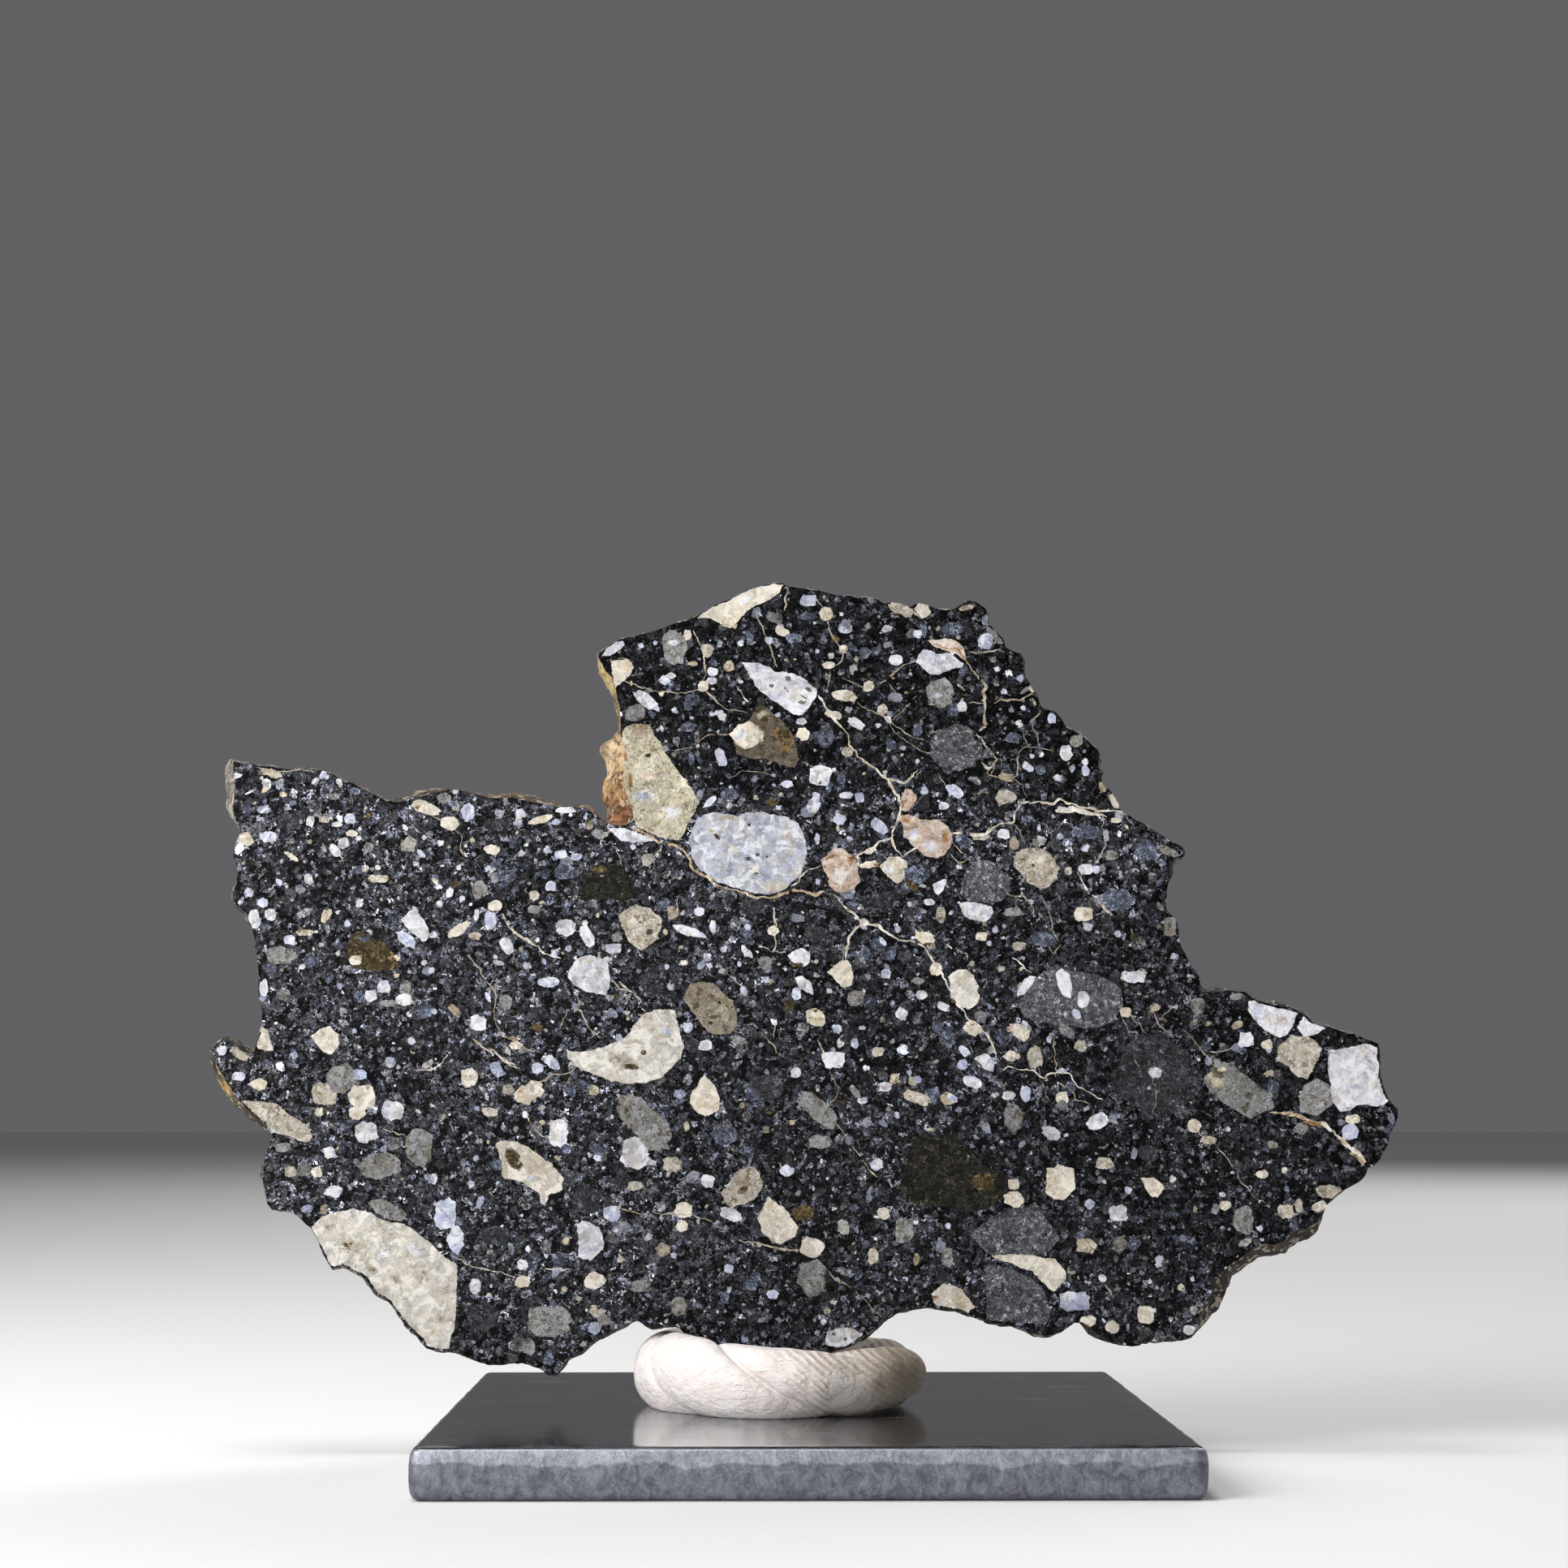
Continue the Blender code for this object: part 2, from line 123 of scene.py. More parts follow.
def plate_surface():
    """The plate as one closed surface: the edge's profile carried round a rounded square, with a slow
    wave in how far it stands out, and flat rows from there to the middle of the top and the underside."""
    rim, outward = round_square(plate_high[0], PLATE_CORNER)
    inset, height = np.array(PLATE_EDGE).T * MM
    path = np.concatenate([rim, np.zeros((len(rim), 1))], -1)
    levels = path + height[:, None, None] * [0, 0, 1]
    wave = drift(levels, 2.5 * MM, 3) + drift(levels, 0.8 * MM, 4)
    side = np.sin(np.linspace(0, math.pi, len(inset)))[:, None]
    stand_in = inset[:, None] + PLATE_WAVE * side * (1 + wave) / 2
    edge = rim - np.maximum(stand_in, 0)[..., None] * outward
    edge = np.concatenate([edge, np.broadcast_to(height[:, None, None], edge.shape[:2] + (1,))], -1)
    shrink = np.array([0.1, 0.3, 0.55, 0.8, 0.95])[:, None, None]
    across = [1, 1, 0]
    top = edge[0] * (shrink * across + [0, 0, 1])
    under = edge[-1] * (shrink[::-1] * across + [0, 0, 1])
    rows = np.concatenate([top, edge, under])
    count = rows.shape[1]
    points = np.vstack([rows.reshape(-1, 3), [0, 0, height[0]], [0, 0, height[-1]]])
    here, after = np.arange(count), (np.arange(count) + 1) % count
    last = (len(rows) - 1) * count
    middle = np.full(count, len(points) - 2)
    top_fan = np.stack([here, after, middle], -1)
    under_fan = np.stack([last + after, last + here, middle + 1], -1)
    sides = grid_faces(len(rows), count)[:, ::-1]
    return points, sides.tolist() + top_fan.tolist() + under_fan.tolist()


def linear(colour):
    """Red, green and blue from 0 to 255, as seen on a screen, turned into amounts of light."""
    share = np.asarray(colour, float) / 255
    return np.where(share <= 0.04045, share / 12.92, ((share + 0.055) / 1.055) ** 2.4)


def new_material(name, **finish):
    """A material, with the finish that is the same all over set on the shader's own sockets."""
    material = bpy.data.materials.new(name)
    material.use_nodes = True
    for socket, value in finish.items():
        material.node_tree.nodes["Principled BSDF"].inputs[socket.replace("_", " ")].default_value = value
    return material


def wire(material, kind, sockets, **settings):
    """Adds a node of one kind; each socket gets a value, or the output of another node."""
    node = material.node_tree.nodes.new(kind)
    for name, value in settings.items():
        setattr(node, name, value)
    for name, value in sockets.items():
        if isinstance(value, bpy.types.NodeSocket):
            material.node_tree.links.new(value, node.inputs[name])
        else:
            node.inputs[name].default_value = value
    return node


def reckon(material, operation, first, second=0.0, third=0.0):
    """One sum on numbers."""
    sockets = {0: first, 1: second, 2: third}
    return wire(material, "ShaderNodeMath", sockets, operation=operation).outputs[0]


def steps(material, amount, low, high, top=1.0):
    """A smooth rise from 0 to top as the amount goes from low to high."""
    sockets = {"Value": amount, "From Min": low, "From Max": high, "To Max": top}
    return wire(material, "ShaderNodeMapRange", sockets, interpolation_type="SMOOTHSTEP").outputs[0]


def times(material, first, second):
    """Two numbers multiplied."""
    return reckon(material, "MULTIPLY", first, second)


def paint(material, amount, under, over, how="MIX"):
    """One colour laid over another by the given amount."""
    colours = [
        value if isinstance(value, bpy.types.NodeSocket) else (*value, 1.0) for value in (under, over)
    ]
    sockets = {0: amount, 6: colours[0], 7: colours[1]}
    return wire(material, "ShaderNodeMix", sockets, data_type="RGBA", blend_type=how).outputs[2]


def stain(material, amount, under, over):
    """One colour multiplied by another by the given amount."""
    return paint(material, amount, under, over, "MULTIPLY")


def place(material, stretch=(1, 1, 1), turn=0.0):
    """Object coordinates in mm, stretched."""
    where = wire(material, "ShaderNodeTexCoord", {}).outputs["Object"]
    sockets = {"Vector": where, "Rotation": (0, 0, turn), "Scale": [1000 * share for share in stretch]}
    return wire(material, "ShaderNodeMapping", sockets).outputs[0]


def clouds(material, size, detail=3.0, rough=0.55, stretch=(1, 1, 1), turn=0.0, bend=0.0):
    """Noise from 0 to 1 whose larger patches are the given size in mm."""
    sockets = {"Vector": place(material, stretch, turn), "Scale": 1 / size, "Detail": detail}
    sockets.update({"Roughness": rough, "Distortion": bend})
    return wire(material, "ShaderNodeTexNoise", sockets).outputs["Fac"]


def cells(material, size, give="Color", feature="F1", vector=None):
    """Grains of the given size in mm, each with one random colour, or the distance to its edge."""
    sockets = {"Vector": vector or place(material), "Scale": 1 / size, "Randomness": 1.0}
    return wire(material, "ShaderNodeTexVoronoi", sockets, feature=feature).outputs[give]


def relief(material, heights):
    """Bumps one on another, each with its height in mm."""
    normal = None
    for height, amount in heights:
        sockets = {"Height": amount, "Distance": height * MM}
        if normal:
            sockets["Normal"] = normal
        normal = wire(material, "ShaderNodeBump", sockets).outputs[0]
    return normal


def finish_with(material, **inputs):
    """Joins outputs to the shader's sockets."""
    shader = material.node_tree.nodes["Principled BSDF"]
    for socket, value in inputs.items():
        material.node_tree.links.new(value, shader.inputs[socket.replace("_", " ")])
    return material


def plate_metal():
    """Rubbed aluminium on top, with long fine scratches; sheared edges in a pale band over a darker
    mottled one: the pale upper band is a painted highlight where the edge faces up, the lower one painted
    shade."""
    metal = new_material("plate_metal", Metallic=1.0)
    where = wire(metal, "ShaderNodeTexCoord", {}).outputs["Object"]
    height = wire(metal, "ShaderNodeSeparateXYZ", {0: where}).outputs[2]
    on_top = steps(metal, height, 3.08 * MM, 3.27 * MM)
    off_top = reckon(metal, "SUBTRACT", 1.0, on_top)

    wave = reckon(metal, "MULTIPLY_ADD", clouds(metal, 3.2, 4.0, 0.65), 1.5 * MM, 1.55 * MM)
    # Painted light on the edge: the upper band, which faces up, gets lighter colours as a painted highlight,
    # and the lower band gets darker ones as painted shade. The mottle in each band is the metal's own.
    painted_light_band = steps(metal, reckon(metal, "SUBTRACT", height, wave), -0.1 * MM, 0.12 * MM)
    shear = clouds(metal, 0.75, 6.0, 0.75, stretch=(1.0, 1.0, 0.75), bend=0.6)
    grain = clouds(metal, 0.16, 3.0, 0.7)
    mottle = steps(metal, shear, 0.3, 0.7)
    lower = paint(metal, mottle, linear(EDGE_SHADED_DARK), linear(EDGE_SHADED_MIDDLE))
    upper = paint(metal, mottle, linear(EDGE_LIT_PALE), linear(EDGE_LIT_BRIGHT))
    edge = paint(metal, painted_light_band, lower, upper)
    edge = stain(metal, steps(metal, grain, 0.62, 0.4, 0.35), edge, (0.45, 0.45, 0.48))

    scratch = clouds(metal, 0.32, 5.0, 0.8, stretch=(0.02, 1.0, 1.0))
    line = steps(metal, clouds(metal, 0.45, 2.0, 0.5, stretch=(0.035, 1.0, 1.0)), 0.66, 0.74)
    line = times(metal, line, steps(metal, clouds(metal, 5.0, 2.0, 0.5), 0.42, 0.62))
    fleck = steps(metal, cells(metal, 0.9, "Distance"), 0.075, 0.03)
    worn = steps(metal, clouds(metal, 7.0, 3.0, 0.5), 0.35, 0.75, 0.3)
    rubbed = paint(metal, steps(metal, scratch, 0.3, 0.72), linear(TOP_DARK), linear(TOP_BRIGHT))
    rubbed = stain(metal, worn, rubbed, (0.6, 0.6, 0.62))
    rubbed = paint(metal, times(metal, line, 0.5), rubbed, linear(LINE_BRIGHT))
    rubbed = paint(metal, times(metal, fleck, 0.7), rubbed, linear(FLECK_BRIGHT))

    colour = paint(metal, on_top, edge, rubbed)
    rough_top = reckon(metal, "MULTIPLY_ADD", scratch, 0.2, 0.02)
    rough_top = reckon(metal, "MULTIPLY_ADD", reckon(metal, "MAXIMUM", line, fleck), 0.25, rough_top)
    rough_edge = reckon(metal, "MULTIPLY_ADD", shear, 0.25, 0.42)
    rougher = reckon(metal, "SUBTRACT", rough_top, rough_edge)
    rough = reckon(metal, "MULTIPLY_ADD", on_top, rougher, rough_edge)
    bumps = [(0.05, times(metal, shear, off_top)), (0.015, times(metal, grain, off_top)), (0.002, scratch)]
    return finish_with(metal, Base_Color=colour, Roughness=rough, Normal=relief(metal, bumps))


plate = new_piece("plate_sheet", *plate_surface(), [plate_metal()])
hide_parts("base_plate")

# Section: the putty. Two strands of soft white putty are twisted together, closed to a ring and pressed
# onto the plate by hand. The ring grips the lower edge of the slice, and finger ridges show in it.
RING_CENTRE = np.array((-1.6, 0.0)) * MM
RING_ACROSS = 20.6 * MM
ROPE_ACROSS = 5.2 * MM
ROPE_HIGH_LEFT, ROPE_HIGH_RIGHT = 5.7 * MM, 4.2 * MM
RIGHT_END_LIFT = 0.45 * MM
ROPE_TURNS = 3
FIRST_CREASE = math.radians(-92)
STRAND_SWELL = 0.05
SHALLOW_CREASE, SHALLOW_WIDTH = 0.12, math.radians(22)
DEEP_CREASE, DEEP_WIDTH = 0.26, math.radians(6.0)
FOOT_SHARE = 0.86
SLICE_HALF = 1.5 * MM


def slice_edge():
    """Points round the cut face, and round each row of its rim, in the order that they are joined. The
    rows are the levels across the thickness; a row's edges are those with a face on a neighbouring row."""
    mesh = bmesh.new()
    mesh.from_mesh(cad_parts["meteorite_slice"].data)
    bmesh.ops.remove_doubles(mesh, verts=mesh.verts, dist=1e-6)
    mesh.verts.index_update()
    points = np.array([vertex.co for vertex in mesh.verts])
    levels, row_of = np.unique(np.round(points[:, 1] / (0.01 * MM)), return_inverse=True)
    row_of = row_of.ravel()
    joined = {}
    for edge in mesh.edges:
        first, second = (vertex.index for vertex in edge.verts)
        if row_of[first] != row_of[second]:
            continue
        if all(len({row_of[vertex.index] for vertex in face.verts}) == 1 for face in edge.link_faces):
            continue
        joined.setdefault(first, []).append(second)
        joined.setdefault(second, []).append(first)
    mesh.free()
    rows = []
    for level in range(len(levels)):
        start = next(vertex for vertex in np.flatnonzero(row_of == level) if vertex in joined)
        chain, last, here = [start], None, start
        while True:
            last, here = here, next(other for other in joined[here] if other != last)
            if here == start:
                break
            chain.append(here)
        rows.append(points[chain])
    return rows


edge_rows = slice_edge()


def below_slice(x):
    """The height of the slice's lower edge over a point of the plate: the lowest of the edges above it."""
    outline = edge_rows[0][:, [0, 2]]
    after = np.roll(outline, -1, axis=0)
    along = x[..., None]
    crosses = (outline[:, 0] <= along) != (after[:, 0] <= along)
    run = np.where(np.abs(after[:, 0] - outline[:, 0]) < 1e-9, 1e-9, after[:, 0] - outline[:, 0])
    height = outline[:, 1] + (along - outline[:, 0]) / run * (after[:, 1] - outline[:, 1])
    return np.min(np.where(crosses, height, 1.0), axis=-1)


def putty_surface(round_ring=560, round_rope=130):
    """The rope's section carried round the ring. A section is an oval with a flat foot; its radius
    swells between two opposite creases, and the creases wind round it as it goes. Slow noise makes it
    handmade, and where the slice stands it is pressed down to the slice's lower edge."""
    ring = np.linspace(0, 2 * math.pi, round_ring, endpoint=False)[:, None]
    rope = np.linspace(0, 2 * math.pi, round_rope, endpoint=False)[None, :]
    side = np.cos(ring)
    half_high = (ROPE_HIGH_LEFT + ROPE_HIGH_RIGHT) / 4 - side * (ROPE_HIGH_LEFT - ROPE_HIGH_RIGHT) / 4
    wander = 0.12 * np.sin(3 * ring + 1) + 0.07 * np.sin(7 * ring)
    from_crease = rope + ROPE_TURNS * (ring - FIRST_CREASE) + wander
    near = np.arcsin(np.abs(np.sin(from_crease)).clip(0, 1))
    clear = np.exp(-(((ring - 1.5 * math.pi) / 0.42) ** 2)) + 0.85 * np.clip(np.sin(ring), 0, 1) + 0.12
    fade = (0.5 + 0.5 * np.sin(rope + 0.3)) * np.clip(clear, 0, 1)
    shallow = SHALLOW_CREASE * np.clip(0.15 + clear, 0, 1)
    swell = 1 + STRAND_SWELL * np.sin(near) - shallow * np.exp(-((near / SHALLOW_WIDTH) ** 2))
    swell = swell - DEEP_CREASE * fade * np.exp(-((near / DEEP_WIDTH) ** 2))
    foot = PLATE_TOP + RIGHT_END_LIFT * np.maximum(0, side) ** 2 + 0 * rope
    out = (RING_ACROSS - ROPE_ACROSS) / 2 + ROPE_ACROSS / 2 * swell * np.cos(rope)
    up = foot + half_high * (FOOT_SHARE + swell * np.sin(rope))
    x = RING_CENTRE[0] + out * side
    y = RING_CENTRE[1] + out * np.sin(ring)
    rough = np.stack([x, y, up], -1)
    lump = 0.16 * MM * drift(rough, 3.1 * MM, 21) + 0.05 * MM * drift(rough, 1.1 * MM, 22) - 0.12 * MM
    x = x + lump * np.cos(rope) * side
    y = y + lump * np.cos(rope) * np.sin(ring)
    up = np.maximum(up + lump * np.sin(rope), foot)
    pressed = below_slice(x) - 0.03 * MM
    wall = np.clip((np.abs(y) - SLICE_HALF - 0.12 * MM) / (0.25 * MM), 0, None)
    up = np.where(wall < 6, np.minimum(up, np.maximum(pressed, foot) + 3 * MM * wall**1.5), up)
    points = np.stack([x, y, up], -1).reshape(-1, 3)
    low, high = (np.array(corner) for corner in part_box("putty_ring"))
    low[2] = PLATE_TOP
    return points.clip(low, high), grid_faces(round_ring, round_rope, ends_meet=True)[:, ::-1].tolist()


def putty_skin():
    """Matt white putty, a little pink, with soft light inside; finger ridges in patches, folds and dust;
    painted shade makes it darker and browner towards its right end.
    """
    skin = new_material("putty", Subsurface_Weight=0.12, Subsurface_Scale=0.6 * MM, Specular_IOR_Level=0.35)
    skin.node_tree.nodes["Principled BSDF"].inputs["Subsurface Radius"].default_value = (1.0, 0.7, 0.5)
    pinch = clouds(skin, 1.6, 4.0, 0.6)
    fold = clouds(skin, 0.5, 4.0, 0.6, stretch=(0.45, 1.0, 1.0), turn=0.5)
    colour = paint(skin, steps(skin, pinch, 0.35, 0.7), linear((236, 226, 221)), linear((244, 237, 233)))
    where = wire(skin, "ShaderNodeSeparateXYZ", {0: place(skin)}).outputs[0]
    lean = {"Vector": place(skin), "Rotation": (0, math.radians(-38), 0)}
    ridge_place = wire(skin, "ShaderNodeMapping", lean).outputs[0]
    sockets = {"Vector": ridge_place, "Scale": 0.75, "Distortion": 2.6, "Detail": 2.0, "Detail Scale": 0.7}
    ridges = wire(skin, "ShaderNodeTexWave", sockets, wave_profile="SIN", bands_direction="Z").outputs["Fac"]
    patches = steps(skin, clouds(skin, 2.6, 2.0, 0.5), 0.36, 0.5)
    printed = times(skin, patches, steps(skin, where, -3.5, 1.5))
    valley = times(skin, printed, reckon(skin, "SUBTRACT", 1.0, ridges))
    colour = paint(skin, times(skin, valley, 0.5), colour, linear((186, 160, 130)))
    # Painted shade: the putty turns darker and browner towards its right end, away from the lamp on the left.
    colour = paint(skin, steps(skin, where, 0.0, 8.5, 0.9), colour, linear((152, 136, 112)))
    crease = steps(skin, fold, 0.36, 0.28)
    colour = paint(skin, times(skin, crease, 0.25), colour, linear((196, 172, 150)))
    dust = steps(skin, cells(skin, 1.3, "Distance"), 0.045, 0.02)
    colour = paint(skin, times(skin, dust, 0.5), colour, linear((150, 130, 105)))
    stamped = times(skin, printed, ridges)
    grain = clouds(skin, 0.16, 3.0, 0.7)
    normal = relief(skin, [(0.26, fold), (0.08, stamped), (0.12, pinch), (0.045, grain)])
    rough = reckon(skin, "MULTIPLY_ADD", pinch, 0.2, 0.45)
    return finish_with(skin, Base_Color=colour, Roughness=rough, Normal=normal)


putty = new_piece("putty_rope", *putty_surface(), [putty_skin()])
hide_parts("putty_ring")
# Section: the stones in the slice. The larger ones lie where the viewer sees them on the front face.
# Rows are in mm: x, height, width, and then, where it isn't round, its height and its tilt in degrees.
STONES = {
    "white": (
        (-35.3, 44.6, 0.6, 0.8), (-33.4, 44.4, 0.8, 0.4), (-32.85, 43.05, 0.85), (-31.8, 43.4, 0.5),
        (-33.5, 42.5, 1.1, 0.7, -50), (-39.7, 46.7, 0.8, 0.15, 25), (-17, 45.45, 1.6, 0.5),
        (-25.95, 43.05, 0.6), (-27.1, 43.5, 0.45), (-28.5, 44.2, 0.5), (-24.9, 46.8, 0.5),
        (-20.1, 42.35, 0.6), (-12.15, 42.8, 0.55), (-11.2, 53.4, 2.3, 0.9, -35),
        (-13.6, 57.2, 1.9, 0.7, 35), (-9.5, 55.2, 0.8, 0.5), (-6.45, 55.5, 0.8, 0.7),
        (-5.75, 52.2, 0.7, 0.6), (-6.5, 52.4, 0.6, 0.4), (-10.1, 51.35, 0.4, 0.6),
        (-0.05, 51.9, 0.8, 0.5), (1.3, 48, 1.7, 1.5), (3.9, 51.75, 1.3, 0.7, -30),
        (6.8, 56.4, 1.1, 0.8), (11.6, 53, 0.8), (-1.7, 52.4, 0.5, 0.4), (14.15, 55.75, 0.55),
        (15, 55.45, 0.8, 0.6), (19.05, 49.65, 0.9, 1.2, 10), (20.4, 49, 0.6), (17.3, 49.5, 0.5),
        (16.6, 49.4, 0.5), (14.5, 43.75, 0.95, 0.75), (15.7, 51.8, 0.6), (-39.15, 37.55, 0.9, 1.4),
        (-38.4, 32.7, 0.7, 1.3), (-31.7, 38.8, 0.7), (-41.25, 28.25, 0.7), (-29.85, 32.75, 1),
        (-30.75, 32.15, 0.9), (-28.4, 31.85, 1.3, 0.9), (-29.1, 24, 1.6, 1.4),
        (-30.9, 22.5, 1.6, 1.5), (-35.7, 34.2, 0.5), (-27, 34.5, 0.5), (-26.45, 33.95, 0.5),
        (-35.35, 40.5, 0.7), (-16.9, 37, 1.5, 1.3), (-15.4, 36.4, 1.7, 0.95, -62),
        (-21.1, 35.7, 1.3, 0.85, -58), (-13.9, 34.7, 0.7, 0.45), (-23.1, 30.2, 1.25, 1.1),
        (-14.7, 29.8, 0.2), (-6.4, 37.1, 0.5, 0.9), (-6.9, 28.6, 0.95, 0.85), (-23.3, 37.9, 0.4, 0.8),
        (-17.3, 22.5, 1.4, 2), (-11.9, 21, 2.1, 2.2), (-5.1, 16.7, 1.7, 1, -20), (-6.7, 19, 1),
        (2.25, 27.6, 1.7, 1.3), (-0.45, 26.7, 0.75), (4.55, 27, 0.6), (5.9, 25.7, 1, 0.75),
        (12.1, 26, 1.35, 0.8, -15), (14.7, 25.05, 0.95, 0.7), (9.1, 38.85, 0.8, 0.5),
        (11.3, 41.4, 0.5, 0.4), (20.4, 41.2, 1.1, 0.8), (16.45, 38.9, 0.5), (1.9, 32.5, 0.5),
        (7.1, 30.85, 0.95, 0.9, -35), (8.5, 32.2, 0.85, 0.7), (10.1, 31.35, 1, 0.6, -25),
        (20.1, 31.9, 0.85, 1.2), (17.7, 22.4, 1.5, 1, -30), (21, 23.25, 1.1, 1.6, -60),
        (23.7, 33.5, 1.8, 0.9), (22.4, 16.75, 1.4, 1.2), (-25.95, 38.7, 0.6), (-24.35, 39.05, 0.6),
        (-38, 37.9, 0.9), (-33.5, 21.05, 0.9), (-23.1, 11.7, 0.8, 1.1), (-19.75, 13.2, 0.8),
        (-33.15, 18.3, 1.3, 0.8), (13.2, 18.8, 0.35), (25.1, 26.75, 0.9), (24.6, 12, 0.5),
        (-34.75, 36.7, 0.3), (6.2, 52.05, 0.6), (2.3, 48.4, 0.4), (-7.5, 50.1, 0.3),
        (-1.65, 56.7, 0.25), (31.7, 29, 1.15), (27.3, 8.6, 0.9, 0.7), (28.3, 27.6, 0.35),
        (1.5, 9.2, 0.6), (21.2, 12.2, 0.6), (-24.6, 41.3, 0.5), (-30.4, 41.3, 0.4),
    ),
    "lavender": (
        (-24, 45.3, 1, 1.4), (-17.3, 42.25, 0.9, 0.6), (-16.2, 42.1, 0.9, 0.6), (-35, 47.5, 0.6),
        (-34.35, 47.9, 0.7), (-32.45, 44.8, 0.8), (-38.3, 43.5, 1.2, 0.8), (-38.65, 45.45, 0.9, 0.6),
        (-20.25, 45.2, 0.8, 0.8), (-20.4, 44.6, 0.7), (-17.7, 44.6, 0.7, 0.5), (-18.3, 42.6, 0.6),
        (-5.85, 49.3, 0.8, 1.5, 20), (0.45, 60.75, 1.3, 0.9), (8.4, 58.3, 0.7),
        (13.3, 57.8, 1.1, 1.2), (-1.1, 47.35, 0.9, 0.6), (2.7, 44.8, 0.95, 0.85),
        (5.55, 44.3, 1.5, 0.85, -40), (11, 46.85, 1.45, 0.9, -38), (4.15, 46.4, 0.75, 0.8),
        (3.15, 46.55, 1.1, 0.5), (1, 46.4, 0.6, 0.85), (1.1, 43.4, 0.4, 0.8), (3.4, 43.4, 0.5),
        (8.8, 46.85, 0.75, 0.7), (10.2, 45.8, 0.8, 0.6), (11.4, 45.45, 0.6, 0.4),
        (-10.6, 57.6, 0.4), (-5.95, 57.6, 0.5, 0.7), (-4.4, 57.6, 0.6), (-2.4, 57.85, 0.6),
        (15.8, 55.1, 0.5, 0.7), (16.3, 48.6, 1, 0.55, -40), (20.45, 48.35, 0.6, 0.9, 15),
        (18.4, 47.85, 0.7), (17.05, 44.15, 0.4, 0.6), (18.6, 43.6, 0.6), (20.4, 42.75, 0.75),
        (18.05, 52.15, 0.6, 0.8), (-19.7, 34.25, 0.7), (-17.7, 35.2, 0.6), (-16.7, 35.5, 0.6),
        (-13.5, 35.5, 1.3, 0.8), (-18.1, 33.1, 1.5, 0.75), (-7.4, 38.15, 0.8, 0.7),
        (-3.85, 37.1, 0.6), (-2.6, 33.3, 0.6), (-5.6, 35.45, 0.6), (-9.7, 34.2, 0.5),
        (-6.6, 34.3, 0.5), (-4.5, 34.4, 0.5), (-4.2, 32.5, 0.6, 0.8), (-8.15, 29.9, 0.75),
        (-17.85, 27.45, 1.4, 0.8, -45), (-18.85, 27, 0.9), (-13.1, 29.2, 0.6), (-18, 40, 0.8),
        (-22.6, 41.2, 0.5), (-28.3, 36.15, 1.8, 0.9, -40), (-22.3, 37.5, 0.9, 1.4),
        (-40, 26.4, 1, 0.7), (-25.25, 16.7, 1.6, 2.3), (-24.5, 14.9, 1.3, 2), (-13.5, 16.75, 1.3, 1.1),
        (7.7, 38.7, 0.5), (13.85, 36.85, 0.6), (13.4, 35.9, 0.5), (20.5, 37, 0.8, 0.6),
        (6.85, 36.85, 0.5, 0.7), (6, 33.7, 0.75, 0.7), (2.45, 29.8, 0.7), (3.75, 28.75, 0.6, 0.8),
        (11.55, 28.2, 0.9, 0.6, -45), (11.4, 27.25, 0.8), (7.6, 26.7, 0.5), (8.2, 26.2, 0.6),
        (10.7, 24.85, 0.8, 0.5, -35), (4.3, 24.7, 0.8, 0.5), (15.9, 25.2, 0.8, 1.2), (17.6, 29, 0.5),
        (18.5, 26.8, 0.8, 0.45), (19.6, 30.85, 0.6, 0.9, 30), (18.8, 30.85, 0.3, 0.5),
        (-0.4, 32.3, 0.7, 1), (19.2, 10.6, 2.3, 1.4), (23.1, 18.4, 0.7), (20.4, 17.4, 0.8),
        (-23.4, 18.8, 0.7), (-26.2, 19.2, 0.8), (-9.1, 13.8, 0.6), (-1.1, 19.75, 1.1, 0.9),
        (39, 22.5, 1.2), (26.65, 34.95, 0.7, 0.5), (22.6, 36.6, 0.6), (30.3, 22.7, 0.5),
        (-27.3, 42.3, 0.8, 0.4, -40), (-36.6, 36.1, 0.9, 0.7), (-39.6, 39.5, 0.7), (1.1, 57, 0.5),
        (-38.6, 38.75, 0.8), (-32.5, 37.3, 0.6), (-37.4, 40.3, 0.6), (16, 52.9, 0.5), (14.6, 54.1, 0.6),
        (5.5, 51.6, 0.5), (-9.2, 52.7, 0.6), (-11.65, 57.4, 0.5), (26.3, 19.2, 0.6), (8.3, 49, 0.5),
        (5.3, 20.2, 0.9), (-10.9, 15.1, 0.6), (-5.2, 12.9, 0.7), (-2.1, 11.1, 0.9, 0.7), (10.3, 15.9, 0.6),
        (25.3, 13.6, 0.7), (-12.9, 24.1, 0.6), (-29.3, 27.4, 0.8), (-27.8, 28.9, 0.6), (-26.2, 31, 0.5),
    ),
    "cream": (
        (-27, 45.6, 2.1, 0.9, -20), (-25.3, 44.5, 1.3, 1.1), (-39.95, 43.3, 1.3, 1),
        (-22.25, 42.6, 1.2, 0.85), (-18.8, 44.75, 2.0, 0.6, 15), (-36.6, 42.1, 1.2, 0.35, -35),
        (-32.3, 43.75, 0.9, 0.5), (-7.15, 54.45, 0.85, 0.8), (0.1, 51, 1.1, 1), (3.1, 53.8, 1.9, 0.95, -10),
        (2.3, 52.4, 1.3, 0.6, -15), (1.95, 56, 1, 0.6), (4.8, 54.5, 0.8), (1.75, 59.8, 1, 1.1),
        (-1.45, 58.5, 1.1, 0.7, -30), (-8.3, 58.2, 0.6, 0.8), (8.75, 60, 1.2, 1.1), (3, 57.2, 0.6),
        (22.5, 46.15, 0.6, 1.2, 20), (22.6, 44.75, 0.8, 0.4), (23.35, 44.3, 0.6, 0.35, -30),
